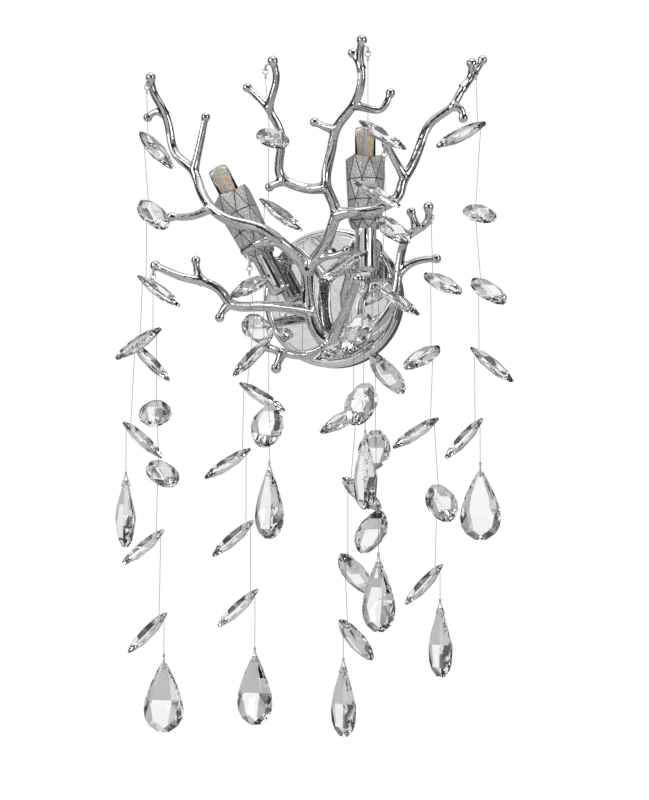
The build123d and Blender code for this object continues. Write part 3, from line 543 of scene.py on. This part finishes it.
def smooth_path(points, step=1.5):
    """A curve through the points: a cubic in each stretch, with slopes that match at every point."""
    knots = np.asarray(points, float)
    chord = distance_along(knots)
    gaps = np.diff(chord)
    count = len(knots)
    system = np.zeros((count, count))
    right = np.zeros((count, 3))
    system[0, :2] = (2, 1)
    right[0] = 3 * (knots[1] - knots[0]) / gaps[0]
    system[-1, -2:] = (1, 2)
    right[-1] = 3 * (knots[-1] - knots[-2]) / gaps[-1]
    inner = np.arange(1, count - 1)
    system[inner, inner - 1] = gaps[1:]
    system[inner, inner] = 2 * (gaps[:-1] + gaps[1:])
    system[inner, inner + 1] = gaps[:-1]
    slope = np.diff(knots, axis=0) / gaps[:, None]
    right[inner] = 3 * (gaps[1:, None] * slope[:-1] + gaps[:-1, None] * slope[1:])
    slopes = np.linalg.solve(system, right)
    where = np.linspace(0, chord[-1], max(4, int(chord[-1] / step) + 1))
    stretch = np.clip(np.searchsorted(chord, where, side="right") - 1, 0, count - 2)
    gap = gaps[stretch][:, None]
    share = (where - chord[stretch])[:, None] / gap
    return (
        (2 * share**3 - 3 * share**2 + 1) * knots[stretch] + (3 * share**2 - 2 * share**3) * knots[stretch + 1]
        + (share**3 - 2 * share**2 + share) * gap * slopes[stretch]
        + (share**3 - share**2) * gap * slopes[stretch + 1]
    )


def axes(origin, axis, reference=(0, 1, 0)):
    """A turned piece's origin, two directions across it and its axis."""
    axis = unit(axis)
    across = unit(np.cross(np.array(reference, float), axis))
    return np.array(origin, float), across, np.cross(axis, across), axis


def turned_corners(place, profile, sides):
    """Every (height, radius) pair of a profile carried once round the axis."""
    origin, across, aside, axis = place
    profile = np.asarray(profile, float)
    angle = round_angles(sides)[None, :]
    height, radius = profile[:, :1], profile[:, 1:]
    around = np.stack([radius * np.cos(angle), radius * np.sin(angle), height * np.ones_like(angle)], -1)
    return placed(around.reshape(-1, 3), origin, across, aside, axis)


def lathe(place, profile, sides):
    """A turned piece whose profile closes on itself."""
    return turned_corners(place, profile, sides), grid_faces(len(profile), sides, closed_rows=True)


def capped_lathe(place, profile, sides):
    """A turned solid whose first and last rings are closed with flat discs."""
    return turned_corners(place, profile, sides), capped_faces(len(profile), sides)


def rounded(profile, index, radius, count):
    """A profile with a small arc in place of one corner."""
    before, corner, after = np.array(profile[index - 1:index + 2], float)
    start, end = corner + radius * unit(before - corner), corner + radius * unit(after - corner)
    share = np.linspace(0, 1, count)[:, None]
    arc = (1 - share)**2 * start + 2 * share * (1 - share) * corner + share**2 * end
    return [*profile[:index], *arc, *profile[index + 1:]]


# ---- the cast tree ----
def cast_limb(turn, points, root_radius, neck_radius, tip_radius=TWIG_BUD_RADIUS):
    """A fluted bar that starts wide in its fork and narrows to its neck, and the flattened ball at its tip."""
    path = smooth_path(points)
    run = distance_along(path)
    neck = neck_radius if tip_radius is None else max(neck_radius, NECK_SHARE * tip_radius)
    radii = root_radius + (neck - root_radius) * run / run[-1] + LIMB_COAT
    radii += FORK_FLARE * np.exp(-run / FORK_FLARE_LENGTH)
    parts = [(*tube(path, radii, LIMB_SIDES, FLUTE_DEPTH, turn), 0)]
    if tip_radius is not None:
        parts.append((*ball(points[-1], tip_radius, TIP_SQUASH), 0))
    return parts


def cast_tree():
    """All limbs in one casting: closed bars and balls, joined by a remesh and eased where they meet."""
    parts = [(*ball(HUB, HUB_BALL_RADIUS), 0)]
    for index, limb in enumerate(LIMBS):
        parts += cast_limb(FLUTE_TURN * index, *limb)
    tree = solid_piece("cast_tree", parts, "frame", ["cast"], TREE_NODES)
    joined = tree.modifiers.new("joined", "REMESH")
    joined.mode = "VOXEL"
    joined.voxel_size = TREE_VOXEL * MM
    joined.use_smooth_shade = True
    eased = tree.modifiers.new("eased", "SMOOTH")
    eased.factor = TREE_EASE
    eased.iterations = TREE_EASE_ROUNDS


def tip_holes():
    """The small holes drilled through the free tips, shown as pins in painted near-black shade that end just proud
    of the metal.
    """
    end = TIP_HOLE_RADIUS - TIP_HOLE_BEVEL
    profile = [
        (0, end), (0.15, TIP_HOLE_RADIUS), (TIP_HOLE_LENGTH - 0.15, TIP_HOLE_RADIUS), (TIP_HOLE_LENGTH, end),
    ]
    parts = []
    for x, y, z in FREE_TIPS:
        place = axes((x, y - TIP_HOLE_LENGTH / 2, z), (0, 1, 0), (0, 0, 1))
        parts.append((*capped_lathe(place, profile, 12), 0))
    solid_piece("tip_holes", parts, "frame", ["drilled"])


def eyelets():
    """Under each hooked tip, a bent wire: a loop that the ring hangs in and a shank up into the tip."""
    parts = []
    for name, hung in STRANDS.items():
        centre = np.array(hung.hook) + (0, 0, EYE_RADIUS)
        turn = round_angles(24)
        loop = centre + EYE_RADIUS * np.stack([0 * turn, np.cos(turn), np.sin(turn)], 1)
        shank = np.linspace(centre + (0, 0, EYE_RADIUS), bud(name), 8)
        parts.append((*closed_wire(loop, EYE_WIRE_RADIUS, 8), 0))
        parts.append((*tube(shank, EYE_SHANK_RADIUS, 10), 0))
    solid_piece("eyelets", parts, "frame", ["wire"])


# ---- wall side ----
def canopy_dish():
    """The polished dish: a mirror face with a groove near its rim and a bead round its wall, open at the back."""
    face, edge = CANOPY_DEPTH, CANOPY_RADIUS
    outline = [(0, edge)] + [(BEAD_HEIGHT + step, edge + rise) for step, rise in BEAD] + [
        (face - 2.6, edge), (face - 1.3, edge - 0.4), (face - 0.4, edge - 1.3), (face, edge - 2.6),
        (face, edge - 4.4), (face - 0.5, edge - 5.0), (face - 0.5, edge - 5.6), (face, edge - 6.2),
        (face, HUB_PLATE_RADIUS), (face - CANOPY_WALL, HUB_PLATE_RADIUS),
        (face - CANOPY_WALL, edge - 3.4), (face - 2.8, edge - CANOPY_WALL), (0, edge - CANOPY_WALL),
    ]
    plate_radius = HUB_PLATE_RADIUS + 0.1
    plate_outline = [(face - CANOPY_WALL, plate_radius), (face, plate_radius)]
    place = axes((0, 0, 0), (0, -1, 0), (0, 0, 1))
    parts = [
        (*lathe(place, outline, CANOPY_SIDES), 0), (*capped_lathe(place, plate_outline, CANOPY_SIDES), 0),
    ]
    split_edges(solid_piece("canopy_dish", parts, "frame", ["mirror"], ["canopy"]), 38)


def post_and_nut():
    """The round post from the dish to the tree's hub, with a collar on the dish and a rod and nut inside it."""
    face = CANOPY_DEPTH
    collar = [(face, 8.5), (face + 1.2, 8.5), (face + 2.4, 7.2), (face + 3.2, 5.2)]
    post = collar + [(POST_END, POST_RADIUS), (POST_END, POST_BORE), (face, POST_BORE)]
    rod = [(ROD_TAIL, POST_BORE), (ROD_TAIL, ROD_RADIUS), (face, ROD_RADIUS), (face, POST_BORE)]
    nut = [(height, NUT_RADIUS) for height in NUT_SPAN]
    place = axes((HUB[0], 0, HUB[2]), (0, -1, 0), (0, 0, 1))
    parts = [(*lathe(place, post, 40), 0), (*lathe(place, rod, 24), 1), (*capped_lathe(place, nut, 6), 1)]
    split_edges(solid_piece("hub_post_turned", parts, "frame", ["cast", "zinc"], ["hub_post"]), 38)


def arm_tubes():
    """The bent arms behind the lamps, from each cup back to the dish."""
    parts = [(*tube(smooth_path(points), LAMP_ARM_RADIUS, 24), 0) for points in LAMP_ARMS]
    solid_piece("lamp_arm_bars", parts, "frame", ["cast"], ["lamp_arms"])


def dress_kept_solids():
    """Gives the CAD solids that stay their finishes."""
    for node, finish in KEPT_SOLIDS.items():
        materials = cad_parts[node].data.materials
        if not materials:
            materials.append(FINISHES[finish])
        for index in range(len(materials)):
            materials[index] = FINISHES[finish]


# ---- lamps ----
def lamp_cups():
    """The two polished cups under the sleeves, with a rounded foot and a thin open lip."""
    inner = TUBE_RADIUS - CUP_WALL
    outline = rounded([
        (0, CUP_BORE), (0, TUBE_RADIUS), (TUBE_LENGTH, TUBE_RADIUS), (TUBE_LENGTH, inner), (CUP_FLOOR, inner),
        (CUP_FLOOR, CUP_BORE),
    ], 1, CUP_ROUNDING, 9)
    parts = [(*lathe(axes(*lamp), outline, 64), 0) for lamp in LAMPS.values()]
    split_edges(solid_piece("lamp_cups", parts, "frame", ["mirror"], ["lamp_tubes"]), 40)


def sleeve_rings(inset):
    """The corners of a sleeve, ring by ring: each ring is turned by half a side, and the last has its petals."""
    corner = np.arange(SLEEVE_SIDES)
    rings = []
    for level, (height, radius) in enumerate(SLEEVE_RINGS):
        angle = 2 * math.pi / SLEEVE_SIDES * (corner + (level % 2) / 2)
        petal = SLEEVE_PETAL * (corner % 2) if level == len(SLEEVE_RINGS) - 1 else 0 * corner
        reach = radius - inset
        rings.append(np.stack([reach * np.cos(angle), reach * np.sin(angle), SLEEVE_START + height + petal], 1))
    return rings


def band_triangles(level, index):
    """The two triangles on one side of a band, as (0 for the low ring or 1 for the high one, corner)."""
    after = (index + 1) % SLEEVE_SIDES
    if level % 2:
        return [((0, index), (0, after), (1, after)), ((0, index), (1, after), (1, index))]
    return [((0, index), (0, after), (1, index)), ((0, after), (1, after), (1, index))]


def pressed_plate(corners):
    """A triangle pressed up from the sheet: an edge strip down in the crease, and a low pyramid inside it."""
    across = np.cross(corners[1] - corners[0], corners[2] - corners[0])
    girth = np.linalg.norm(np.roll(corners, -1, 0) - corners, axis=1).sum()
    inner_radius = np.linalg.norm(across) / girth
    rise = PLATE_RISE * unit(across)
    middle = corners.mean(0)
    raised = middle + (corners - middle) * max(0.0, 1 - CREASE_HALF_WIDTH / inner_radius) + rise
    peak = middle + (1 + PLATE_CROWN) * rise
    strip = (np.concatenate([corners, raised]), [[0, 1, 4, 3], [1, 2, 5, 4], [2, 0, 3, 5]])
    plate = (np.concatenate([raised, [peak]]), [[0, 1, 3], [1, 2, 3], [2, 0, 3]])
    return strip, plate


def ring_band(low, high):
    """Two triangles a side from one ring of corners to the next."""
    faces = []
    for index in range(len(low)):
        after = (index + 1) % len(low)
        faces += [[index, after, len(low) + after], [index, len(low) + after, len(low) + index]]
    return np.concatenate([low, high]), faces


def sleeve(place):
    """One sleeve: pressed plates in every band, a plain inner wall, and bands that close its rim and foot."""
    creases, inner = sleeve_rings(CREASE_DEPTH), sleeve_rings(SLEEVE_WALL)
    parts = []
    for level in range(1, len(creases) - 1):
        for index in range(SLEEVE_SIDES):
            for triangle in band_triangles(level, index):
                front = np.array([creases[level + ring][corner] for ring, corner in triangle])
                back = np.array([inner[level + ring][corner] for ring, corner in triangle])
                strip, plate = pressed_plate(front)
                # the crease strips take finish 1, the painted crease shade
                parts += [(*strip, 1), (*plate, 0), (back, [[2, 1, 0]], 0)]
    spread = 1 + SEAT_CLEARANCE / TUBE_RADIUS
    collar = creases[0] * (spread, spread, 1)
    seat = creases[0] + (0, 0, SEAT_RISE)
    for low, high in ((creases[-1], inner[-1]), (collar, creases[1]), (seat, inner[1])):
        parts.append((*ring_band(low, high), 0))
    return [(placed(corners, *place), faces, number) for corners, faces, number in parts]


def crimped_sleeves():
    """The two sleeves of pressed triangles, with painted shade in the creases between them."""
    parts = [part for lamp in LAMPS.values() for part in sleeve(axes(*lamp))]
    solid_piece(
        "crimped_sleeves", parts, "frame", ["crimped", "crease"], ["lamp_sleeves"], smooth=False
    )


def bulb_glass(side):
    """The clear capsule: a thin wall with a rounded shoulder, open at its foot."""
    top, inner = BULB_TOP - CAPSULE_WALL, BULB_RADIUS - CAPSULE_WALL
    outline = [(BULB_FOOT, BULB_RADIUS), (BULB_TOP, BULB_RADIUS), (BULB_TOP, CAPSULE_BORE)]
    outside = rounded(outline, 1, CAPSULE_ROUNDING, 8)
    inside = [
        (top, CAPSULE_BORE), (top, inner - 1.6), (top - 0.7, inner - 0.4), (BULB_TOP - CAPSULE_ROUNDING, inner),
        (BULB_FOOT, inner),
    ]
    parts = [(*lathe(axes(*LAMPS[side]), outside + inside, 48), 0)]
    solid_piece(
        f"bulb_{side}_glass", parts, f"bulb_{side}", ["glass"], [f"bulb_{side}_capsule"]
    )


def chip(centre, out, along, axis):
    """One light chip: a low block, a little smaller in front."""
    ends = [
        placed(SQUARE * CHIP_HALF_WIDTH * share, centre + out * depth, along, axis)
        for share, depth in ((1.0, -CHIP_HALF_THICKNESS), (0.85, CHIP_HALF_THICKNESS))
    ]
    return np.concatenate(ends), BLOCK_FACES


def bulb_boards(side):
    """A moulded base with a plug and two pins, and four upright boards back to back with rows of chips."""
    place = axes(*LAMPS[side])
    origin, across, aside, axis = place
    base = [(SOCKET_FACE, BULB_RADIUS - 0.6), (SOCKET_FACE + 0.5, BULB_RADIUS - 0.1), (BULB_FOOT, BULB_RADIUS - 0.1)]
    plug = [(BULB_FOOT, PLUG_RADIUS), (PLUG_TOP - 0.6, PLUG_RADIUS), (PLUG_TOP, PLUG_RADIUS - 0.8)]
    parts = [(*capped_lathe(place, base, 40), 0), (*capped_lathe(place, plug, 40), 0)]
    pin = [
        (SOCKET_FACE - PIN_LENGTH, PIN_RADIUS - 0.2), (SOCKET_FACE - PIN_LENGTH + 0.4, PIN_RADIUS),
        (SOCKET_FACE, PIN_RADIUS),
    ]
    for step in (-PIN_OFFSET, PIN_OFFSET):
        parts.append((*capped_lathe(axes(origin + step * across, axis), pin, 12), 3))
    first, second = unit(across + aside), unit(aside - across)
    ends = [
        placed(SQUARE * BOARD_HALF_WIDTH, origin + height * axis, first, second) for height in (PLUG_TOP, BOARD_TOP)
    ]
    parts.append((np.concatenate(ends), BLOCK_FACES, 1))
    for angle in round_angles(BOARD_COUNT):
        out = first * math.cos(angle) + second * math.sin(angle)
        along = np.cross(axis, out)
        for row in range(CHIP_ROWS):
            height = BOARD_TOP - CHIP_FIRST - CHIP_PITCH * row
            centre = origin + out * (BOARD_HALF_WIDTH + 0.25) + height * axis + along * 0.2
            parts.append((*chip(centre, out, along, axis), 2))
    solid_piece(
        f"bulb_{side}_boards", parts, f"bulb_{side}", ["plastic", "board", "chip", "wire"],
        [f"bulb_{side}_core"], smooth=False,
    )


# ---- crystals ----
def cut_stone(corners):
    """A cut stone: flat facets stretched over its corners."""
    cloud = bpy.data.meshes.new("stone_corners")
    cloud.from_pydata(corners.tolist(), [], [])
    work = bmesh.new()
    work.from_mesh(cloud)
    bmesh.ops.convex_hull(work, input=work.verts)
    inside = [corner for corner in work.verts if not corner.link_faces]
    bmesh.ops.delete(work, geom=inside, context="VERTS")
    bmesh.ops.recalc_face_normals(work, faces=work.faces)
    work.verts.index_update()
    stone = np.array([corner.co for corner in work.verts])
    faces = [[corner.index for corner in face.verts] for face in work.faces]
    work.free()
    bpy.data.meshes.remove(cloud)
    return stone, faces


def stone_corners(outline, front, back, edge, thickness):
    """A stone's corners on both sides of its middle line, as (share of its length, share of its half width,
    height): the outline has an edge of its own, and the faces' corners are a share of the thickness up."""
    rows = [(share, wide, rise) for share, wide in outline for rise in (-edge, edge)]
    rows += [(share, wide, lift * thickness) for share, wide, lift in front]
    rows += [(share, wide, -lift * thickness) for share, wide, lift in back]
    return np.concatenate([rows, np.array(rows) * (1, -1, 1)])


def leaf_stone():
    """A leaf: X from its hole, Y across, Z through it. It has cut ends, a six-sided front and a ridged back."""
    outline = [(0, 0.24), (0.09, 0.52), (0.28, 0.88), (0.5, 1.0), (0.72, 0.88), (0.91, 0.52), (0.985, 0.24)]
    front = [(0.05, 0.0, 0.36), (0.2, 0.32, 0.8), (0.5, 0.5, 1.0), (0.8, 0.32, 0.8), (0.95, 0.0, 0.36)]
    back = [
        (0.06, 0.0, 0.36), (0.32, 0.0, 1.0), (0.68, 0.0, 1.0), (0.94, 0.0, 0.36), (0.36, 0.62, 0.72),
        (0.64, 0.62, 0.72),
    ]
    corners = stone_corners(outline, front, back, 0.8, LEAF_HALF_THICKNESS)
    return cut_stone(corners * (LEAF_LENGTH, LEAF_HALF_WIDTH, 1) - (LEAF_HOLE_INSET, 0, 0))


def drop_stone():
    """A drop: Z up from its hole, Y through it. A level ridge crosses its broad front and its back."""
    outline = [
        (0.0, 0.13), (0.07, 0.25), (0.21, 0.5), (0.38, 0.76), (0.54, 0.94), (0.67, 1.0), (0.8, 0.94),
        (0.91, 0.72), (1.0, 0.26),
    ]
    front = [(0.05, 0.05, 0.34), (0.36, 0.42, 0.8), (0.56, 0.5, 1.0), (0.86, 0.3, 0.72)]
    back = [(0.06, 0.05, 0.32), (0.55, 0.0, 1.0), (0.55, 0.62, 0.86), (0.8, 0.5, 0.62), (0.93, 0.0, 0.5)]
    share, wide, rise = stone_corners(outline, front, back, 0.7, DROP_HALF_THICKNESS).T
    return cut_stone(np.stack([wide * DROP_HALF_WIDTH, -rise, DROP_HOLE_INSET - share * DROP_LENGTH], 1))


LEAF_STONE = leaf_stone()
DROP_STONE = drop_stone()


# ---- strands ----
def leaf_directions(side, turn, droop):
    """Along a hanging leaf, across it, and up through its hole."""
    turn, droop = math.radians(turn), math.radians(droop)
    level = math.cos(droop)
    along = np.array((side * math.cos(turn) * level, -math.sin(turn) * level, -math.sin(droop)))
    across = unit(np.cross((0, 0, 1), along))
    return along, across, np.cross(along, across)


def strand_route(name):
    """The thread's points, as the part's source has them, and where and how each leaf hangs."""
    hung = STRANDS[name]
    x, y, z = hung.hook
    ring_foot = z - RING_OFFSET - RING_BORE_RADIUS - RING_WIRE
    route = [np.array((x, y, ring_foot - CRIMP_LENGTH), float)]
    places = []
    for drop, side, turn, droop, step in hung.leaves:
        along, across, up = leaf_directions(side, turn, droop)
        entry = np.array((route[-1][0] + step, route[-1][1], z - drop))
        middle = entry - up * LEAF_HOLE_HALF_LENGTH
        route += [entry, middle - up * LEAF_HOLE_HALF_LENGTH]
        places.append((middle, along, across, up))
    end_drop = hung.end_drop
    if hung.face_turn is not None:
        end_drop += DROP_HOLE_INSET - CRIMP_LENGTH - CLIP_HEIGHT - CLIP_WIRE
    route.append(np.array((route[-1][0], route[-1][1], z - end_drop)))
    return route, places


def thread_curve(name, route):
    """One fine thread. Its points are the route's, with one more near each hole on the straight runs between."""
    points = [route[0]]
    for index in range(1, len(route)):
        start, end = route[index - 1], route[index]
        mouth = THREAD_MOUTH * unit(end - start)
        if np.linalg.norm(end - start) > LONG_RUN:
            if index > 1:
                points.append(start + mouth)
            if index < len(route) - 1:
                points.append(end - mouth)
        points.append(end)
    curve = bpy.data.curves.new(f"thread_line_{name}", "CURVE")
    curve.dimensions = "3D"
    line = curve.splines.new("NURBS")
    line.points.add(len(points) - 1)
    for point, place in zip(line.points, points):
        point.co = (*(place * MM), 1)
    line.order_u = 3
    line.use_endpoint_u = True
    line.resolution_u = 6
    curve.bevel_depth = THREAD_DIAMETER / 2 * MM
    curve.bevel_resolution = 1
    curve.use_fill_caps = True
    curve.materials.append(FINISHES["thread"])
    thread = add_object(f"thread_line_{name}", curve)
    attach(thread, f"strand_{name}")
    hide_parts(f"thread_{name}")
    return thread


def clip_bar(route):
    """The middle of the bar that the end drop hangs on."""
    return route[-1] - (0, 0, CRIMP_LENGTH + CLIP_HEIGHT + CLIP_WIRE)


def drop_directions(face_turn):
    """Across an end drop, through it and up."""
    turn = math.radians(face_turn)
    return (math.cos(turn), -math.sin(turn), 0), (math.sin(turn), math.cos(turn), 0), (0, 0, 1)


def drop_clip(route, face_turn):
    """A wire bent to a tall triangle: a bar through the drop's hole, and a narrow top in the crimp."""
    _, through, up = drop_directions(face_turn)
    half, rise = CLIP_HALF_WIDTH + CLIP_SPREAD, CLIP_HEIGHT + CLIP_OVERLAP
    corners = np.array([
        (CLIP_CORNER - half, 0), (half - CLIP_CORNER, 0), (half, CLIP_CORNER),
        (CLIP_NECK, rise), (-CLIP_NECK, rise), (-half, CLIP_CORNER),
    ])
    sides = np.roll(corners, -1, 0) - corners
    share = np.array((0, 0.25, 0.5, 0.75))[None, :, None]
    outline = (corners[:, None, :] + sides[:, None, :] * share).reshape(-1, 2)
    return closed_wire(placed(outline, clip_bar(route), through, up), CLIP_WIRE / 2, 8)


def ring_and_crimps(name, route, face_turn):
    """The ring in the eyelet, the crimps at both ends of the thread, and the clip that holds the end drop."""
    turn = round_angles(28)
    centre = np.array(STRANDS[name].hook) - (0, 0, RING_OFFSET)
    loop = centre + (RING_BORE_RADIUS + RING_WIRE / 2) * np.stack([np.cos(turn), 0 * turn, np.sin(turn)], 1)
    parts = [(*closed_wire(loop, RING_WIRE / 2, 10), 0)]
    barrel = [(0, 0.5), (0.25, 0.85), (1.2, 0.9), (1.5, 0.75), (1.8, 0.9), (2.75, 0.85), (3.1, 0.5)]
    for end in (route[0], route[-1] - (0, 0, CRIMP_LENGTH)):
        parts.append((*capped_lathe(axes(end, (0, 0, 1)), barrel, 14), 0))
    if face_turn is not None:
        parts.append((*drop_clip(route, face_turn), 0))
    return solid_piece(
        f"ring_and_clip_{name}", parts, f"strand_{name}", ["wire"], [f"fittings_{name}"]
    )


def strand(name):
    """One strand: thread, fittings, leaves, and its end drop on a body of its own."""
    face_turn = STRANDS[name].face_turn
    route, places = strand_route(name)
    thread = thread_curve(name, route)
    fittings = ring_and_crimps(name, route, face_turn)
    corners, faces = LEAF_STONE
    leaves = solid_piece(
        f"leaf_stones_{name}", [(placed(corners, *place), faces, 0) for place in places],
        f"strand_{name}", ["crystal"], [f"leaves_{name}"], smooth=False,
    )
    if face_turn is not None:
        corners, faces = DROP_STONE
        stone = placed(corners, clip_bar(route), *drop_directions(face_turn))
        solid_piece(
            f"drop_stone_{name}", [(stone, faces, 0)], f"drop_{name}", ["crystal"], [f"drop_{name}"],
            smooth=False,
        )


# ---- room ----
# Light levels round the room, as (share of a turn, level). 0 and 1 are straight behind the wall, and 0.5 is
# straight in front. Light levels by height go from straight down at 0 to straight up at 1.
METAL_AROUND = [
    (0.0, 0.10), (0.12, 0.06), (0.15, 0.5), (0.205, 0.5), (0.23, 0.03), (0.325, 0.03), (0.35, 0.32),
    (0.39, 0.85), (0.42, 0.4), (0.455, 0.85), (0.486, 0.85), (0.497, 0.03), (0.565, 0.03), (0.58, 0.4),
    (0.615, 0.95), (0.64, 0.38), (0.70, 0.32), (0.725, 0.03), (0.82, 0.03), (0.845, 0.5), (0.895, 0.5),
    (0.92, 0.06), (1.0, 0.10),
]
METAL_BY_HEIGHT = [
    (0.0, 0.5), (0.12, 0.4), (0.17, 0.03), (0.29, 0.03), (0.33, 0.45), (0.66, 0.4), (0.70, 0.03), (0.82, 0.03),
    (0.86, 1.0), (1.0, 0.8),
]
CRYSTAL_AROUND = [
    (0.0, 0.95), (0.060, 0.95), (0.075, 0.45), (0.115, 0.32), (0.13, 0.05), (0.19, 0.05), (0.21, 0.8),
    (0.28, 0.7), (0.31, 0.1), (0.39, 0.1), (0.42, 0.9), (0.60, 0.9), (0.64, 0.1), (0.72, 0.1), (0.75, 0.75),
    (0.83, 0.75), (0.855, 0.05), (0.92, 0.05), (0.935, 0.4), (0.972, 0.5), (0.985, 0.95), (1.0, 0.95),
]
CRYSTAL_BY_HEIGHT = [
    (0.0, 0.8), (0.12, 0.7), (0.17, 0.06), (0.28, 0.1), (0.33, 0.7), (0.66, 0.7), (0.72, 0.06), (0.82, 0.06),
    (0.86, 0.95), (1.0, 0.9),
]
STEEP_FROM, STEEP_TO = 0.3, 0.55  # a ray's rise or fall where light by bearing gives way to light by height
ROOM_LEVEL = 0.55
FLOOR_REACH = 4000.0
FLOOR_HEIGHT = -1250.0
FLOOR_GLOW = 0.9  # how much of the floor's own white the camera sees, the rest being its shaded surface
MIDDLE = (0, -50, -80)
# Each lamp of the room: its place, its size and its power in watts.
SOFT_BOXES = {
    "left_box": ((-1300, -1300, 700), 900, 9),
    "right_box": ((1500, -1100, 400), 700, 6),
    "top_box": ((100, -500, 1600), 800, 6),
}


def calculate(tree, kind, *values):
    """One step of arithmetic on numbers and sockets."""
    node = tree.nodes.new("ShaderNodeMath")
    node.operation = kind
    for index, value in enumerate(values):
        if isinstance(value, float):
            node.inputs[index].default_value = value
        else:
            tree.links.new(value, node.inputs[index])
    return node.outputs["Value"]


def surroundings(tree, around, by_height):
    """Light by bearing near the level, which gives way to light by height where the ray is steep."""
    direction = tree.nodes.new("ShaderNodeTexCoord")
    split = tree.nodes.new("ShaderNodeSeparateXYZ")
    tree.links.new(direction.outputs["Generated"], split.inputs["Vector"])
    x, y, z = split.outputs
    bearing = calculate(tree, "ARCTAN2", x, calculate(tree, "MULTIPLY", y, -1.0))
    turn = calculate(tree, "MULTIPLY_ADD", bearing, 0.5 / math.pi, 0.5)
    height = calculate(tree, "MULTIPLY_ADD", z, 0.5, 0.5)
    slope = 1 / (STEEP_TO - STEEP_FROM)
    steep = calculate(tree, "MULTIPLY_ADD", calculate(tree, "ABSOLUTE", z), slope, -slope * STEEP_FROM)
    blend = tree.nodes.new("ShaderNodeMix")
    blend.data_type = "RGBA"
    fade = calculate(tree, "MINIMUM", calculate(tree, "MAXIMUM", steep, 0.0), 1.0)
    tree.links.new(fade, blend.inputs["Factor"])
    tree.links.new(levels(tree, turn, around), blend.inputs["A"])
    tree.links.new(levels(tree, height, by_height), blend.inputs["B"])
    return blend.outputs["Result"]


def background(tree, level=1.0, colour=None):
    """A background of one level, or of a worked-out colour."""
    node = tree.nodes.new("ShaderNodeBackground")
    node.inputs["Strength"].default_value = level
    node.inputs["Color"].default_value = (1, 1, 1, 1)
    if colour is not None:
        tree.links.new(colour, node.inputs["Color"])
    return node.outputs["Background"]


def mixed(tree, share, first, second):
    """Two shaders mixed by a share."""
    node = tree.nodes.new("ShaderNodeMixShader")
    for index, source in enumerate((share, first, second)):
        tree.links.new(source, node.inputs[index])
    return node.outputs["Shader"]


def room_light():
    """White to the camera and an even pale light on rough surfaces. Metal sees dark walls with soft boxes at
    both sides of the camera, and a bright patch that the mirror face turns to; crystal sees a white wall
    behind it, between dark ones."""
    world = bpy.data.worlds.new("studio")
    bpy.context.scene.world = world
    world.use_nodes = True
    tree = world.node_tree
    tree.nodes.clear()
    rays = tree.nodes.new("ShaderNodeLightPath").outputs
    metal = background(tree, colour=surroundings(tree, METAL_AROUND, METAL_BY_HEIGHT))
    crystal = background(tree, colour=surroundings(tree, CRYSTAL_AROUND, CRYSTAL_BY_HEIGHT))
    shown = mixed(tree, rays["Is Glossy Ray"], background(tree, ROOM_LEVEL), metal)
    shown = mixed(tree, rays["Is Transmission Ray"], shown, crystal)
    shown = mixed(tree, rays["Is Camera Ray"], shown, background(tree))
    output = tree.nodes.new("ShaderNodeOutputWorld")
    tree.links.new(shown, output.inputs["Surface"])


def pale_floor():
    """A wide pale floor well below the sconce, nearly white to the camera but for the object's shadow."""
    corners = [(x * FLOOR_REACH * MM, y * FLOOR_REACH * MM, FLOOR_HEIGHT * MM) for x, y in SQUARE.tolist()]
    mesh = bpy.data.meshes.new("floor")
    mesh.from_pydata(corners, [], [(0, 1, 2, 3)])
    material, tree, shader = finish_base("pale_floor")
    shader.inputs["Base Color"].default_value = (0.85, 0.85, 0.85, 1)
    shader.inputs["Roughness"].default_value = 0.9
    glow = tree.nodes.new("ShaderNodeEmission").outputs["Emission"]
    camera_ray = tree.nodes.new("ShaderNodeLightPath").outputs["Is Camera Ray"]
    shown = mixed(tree, calculate(tree, "MULTIPLY", camera_ray, FLOOR_GLOW), shader.outputs["BSDF"], glow)
    tree.links.new(shown, tree.nodes["Material Output"].inputs["Surface"])
    mesh.materials.append(material)
    add_object("floor", mesh)


def soft_box(name, place, size, power):
    """A square lamp turned to the middle of the sconce."""
    light = bpy.data.lights.new(name, "AREA")
    light.shape = "SQUARE"
    light.size = size * MM
    light.energy = power
    aim(add_object(name, light), place, MIDDLE)


# ---- the whole ----
cast_tree()
tip_holes()
eyelets()
canopy_dish()
post_and_nut()
arm_tubes()
dress_kept_solids()
lamp_cups()
crimped_sleeves()
for lamp_side in LAMPS:
    bulb_glass(lamp_side)
    bulb_boards(lamp_side)
for strand_name in STRANDS:
    strand(strand_name)
room_light()
pale_floor()
for box_name, box in SOFT_BOXES.items():
    soft_box(box_name, *box)
bpy.context.scene.view_settings.view_transform = "Standard"
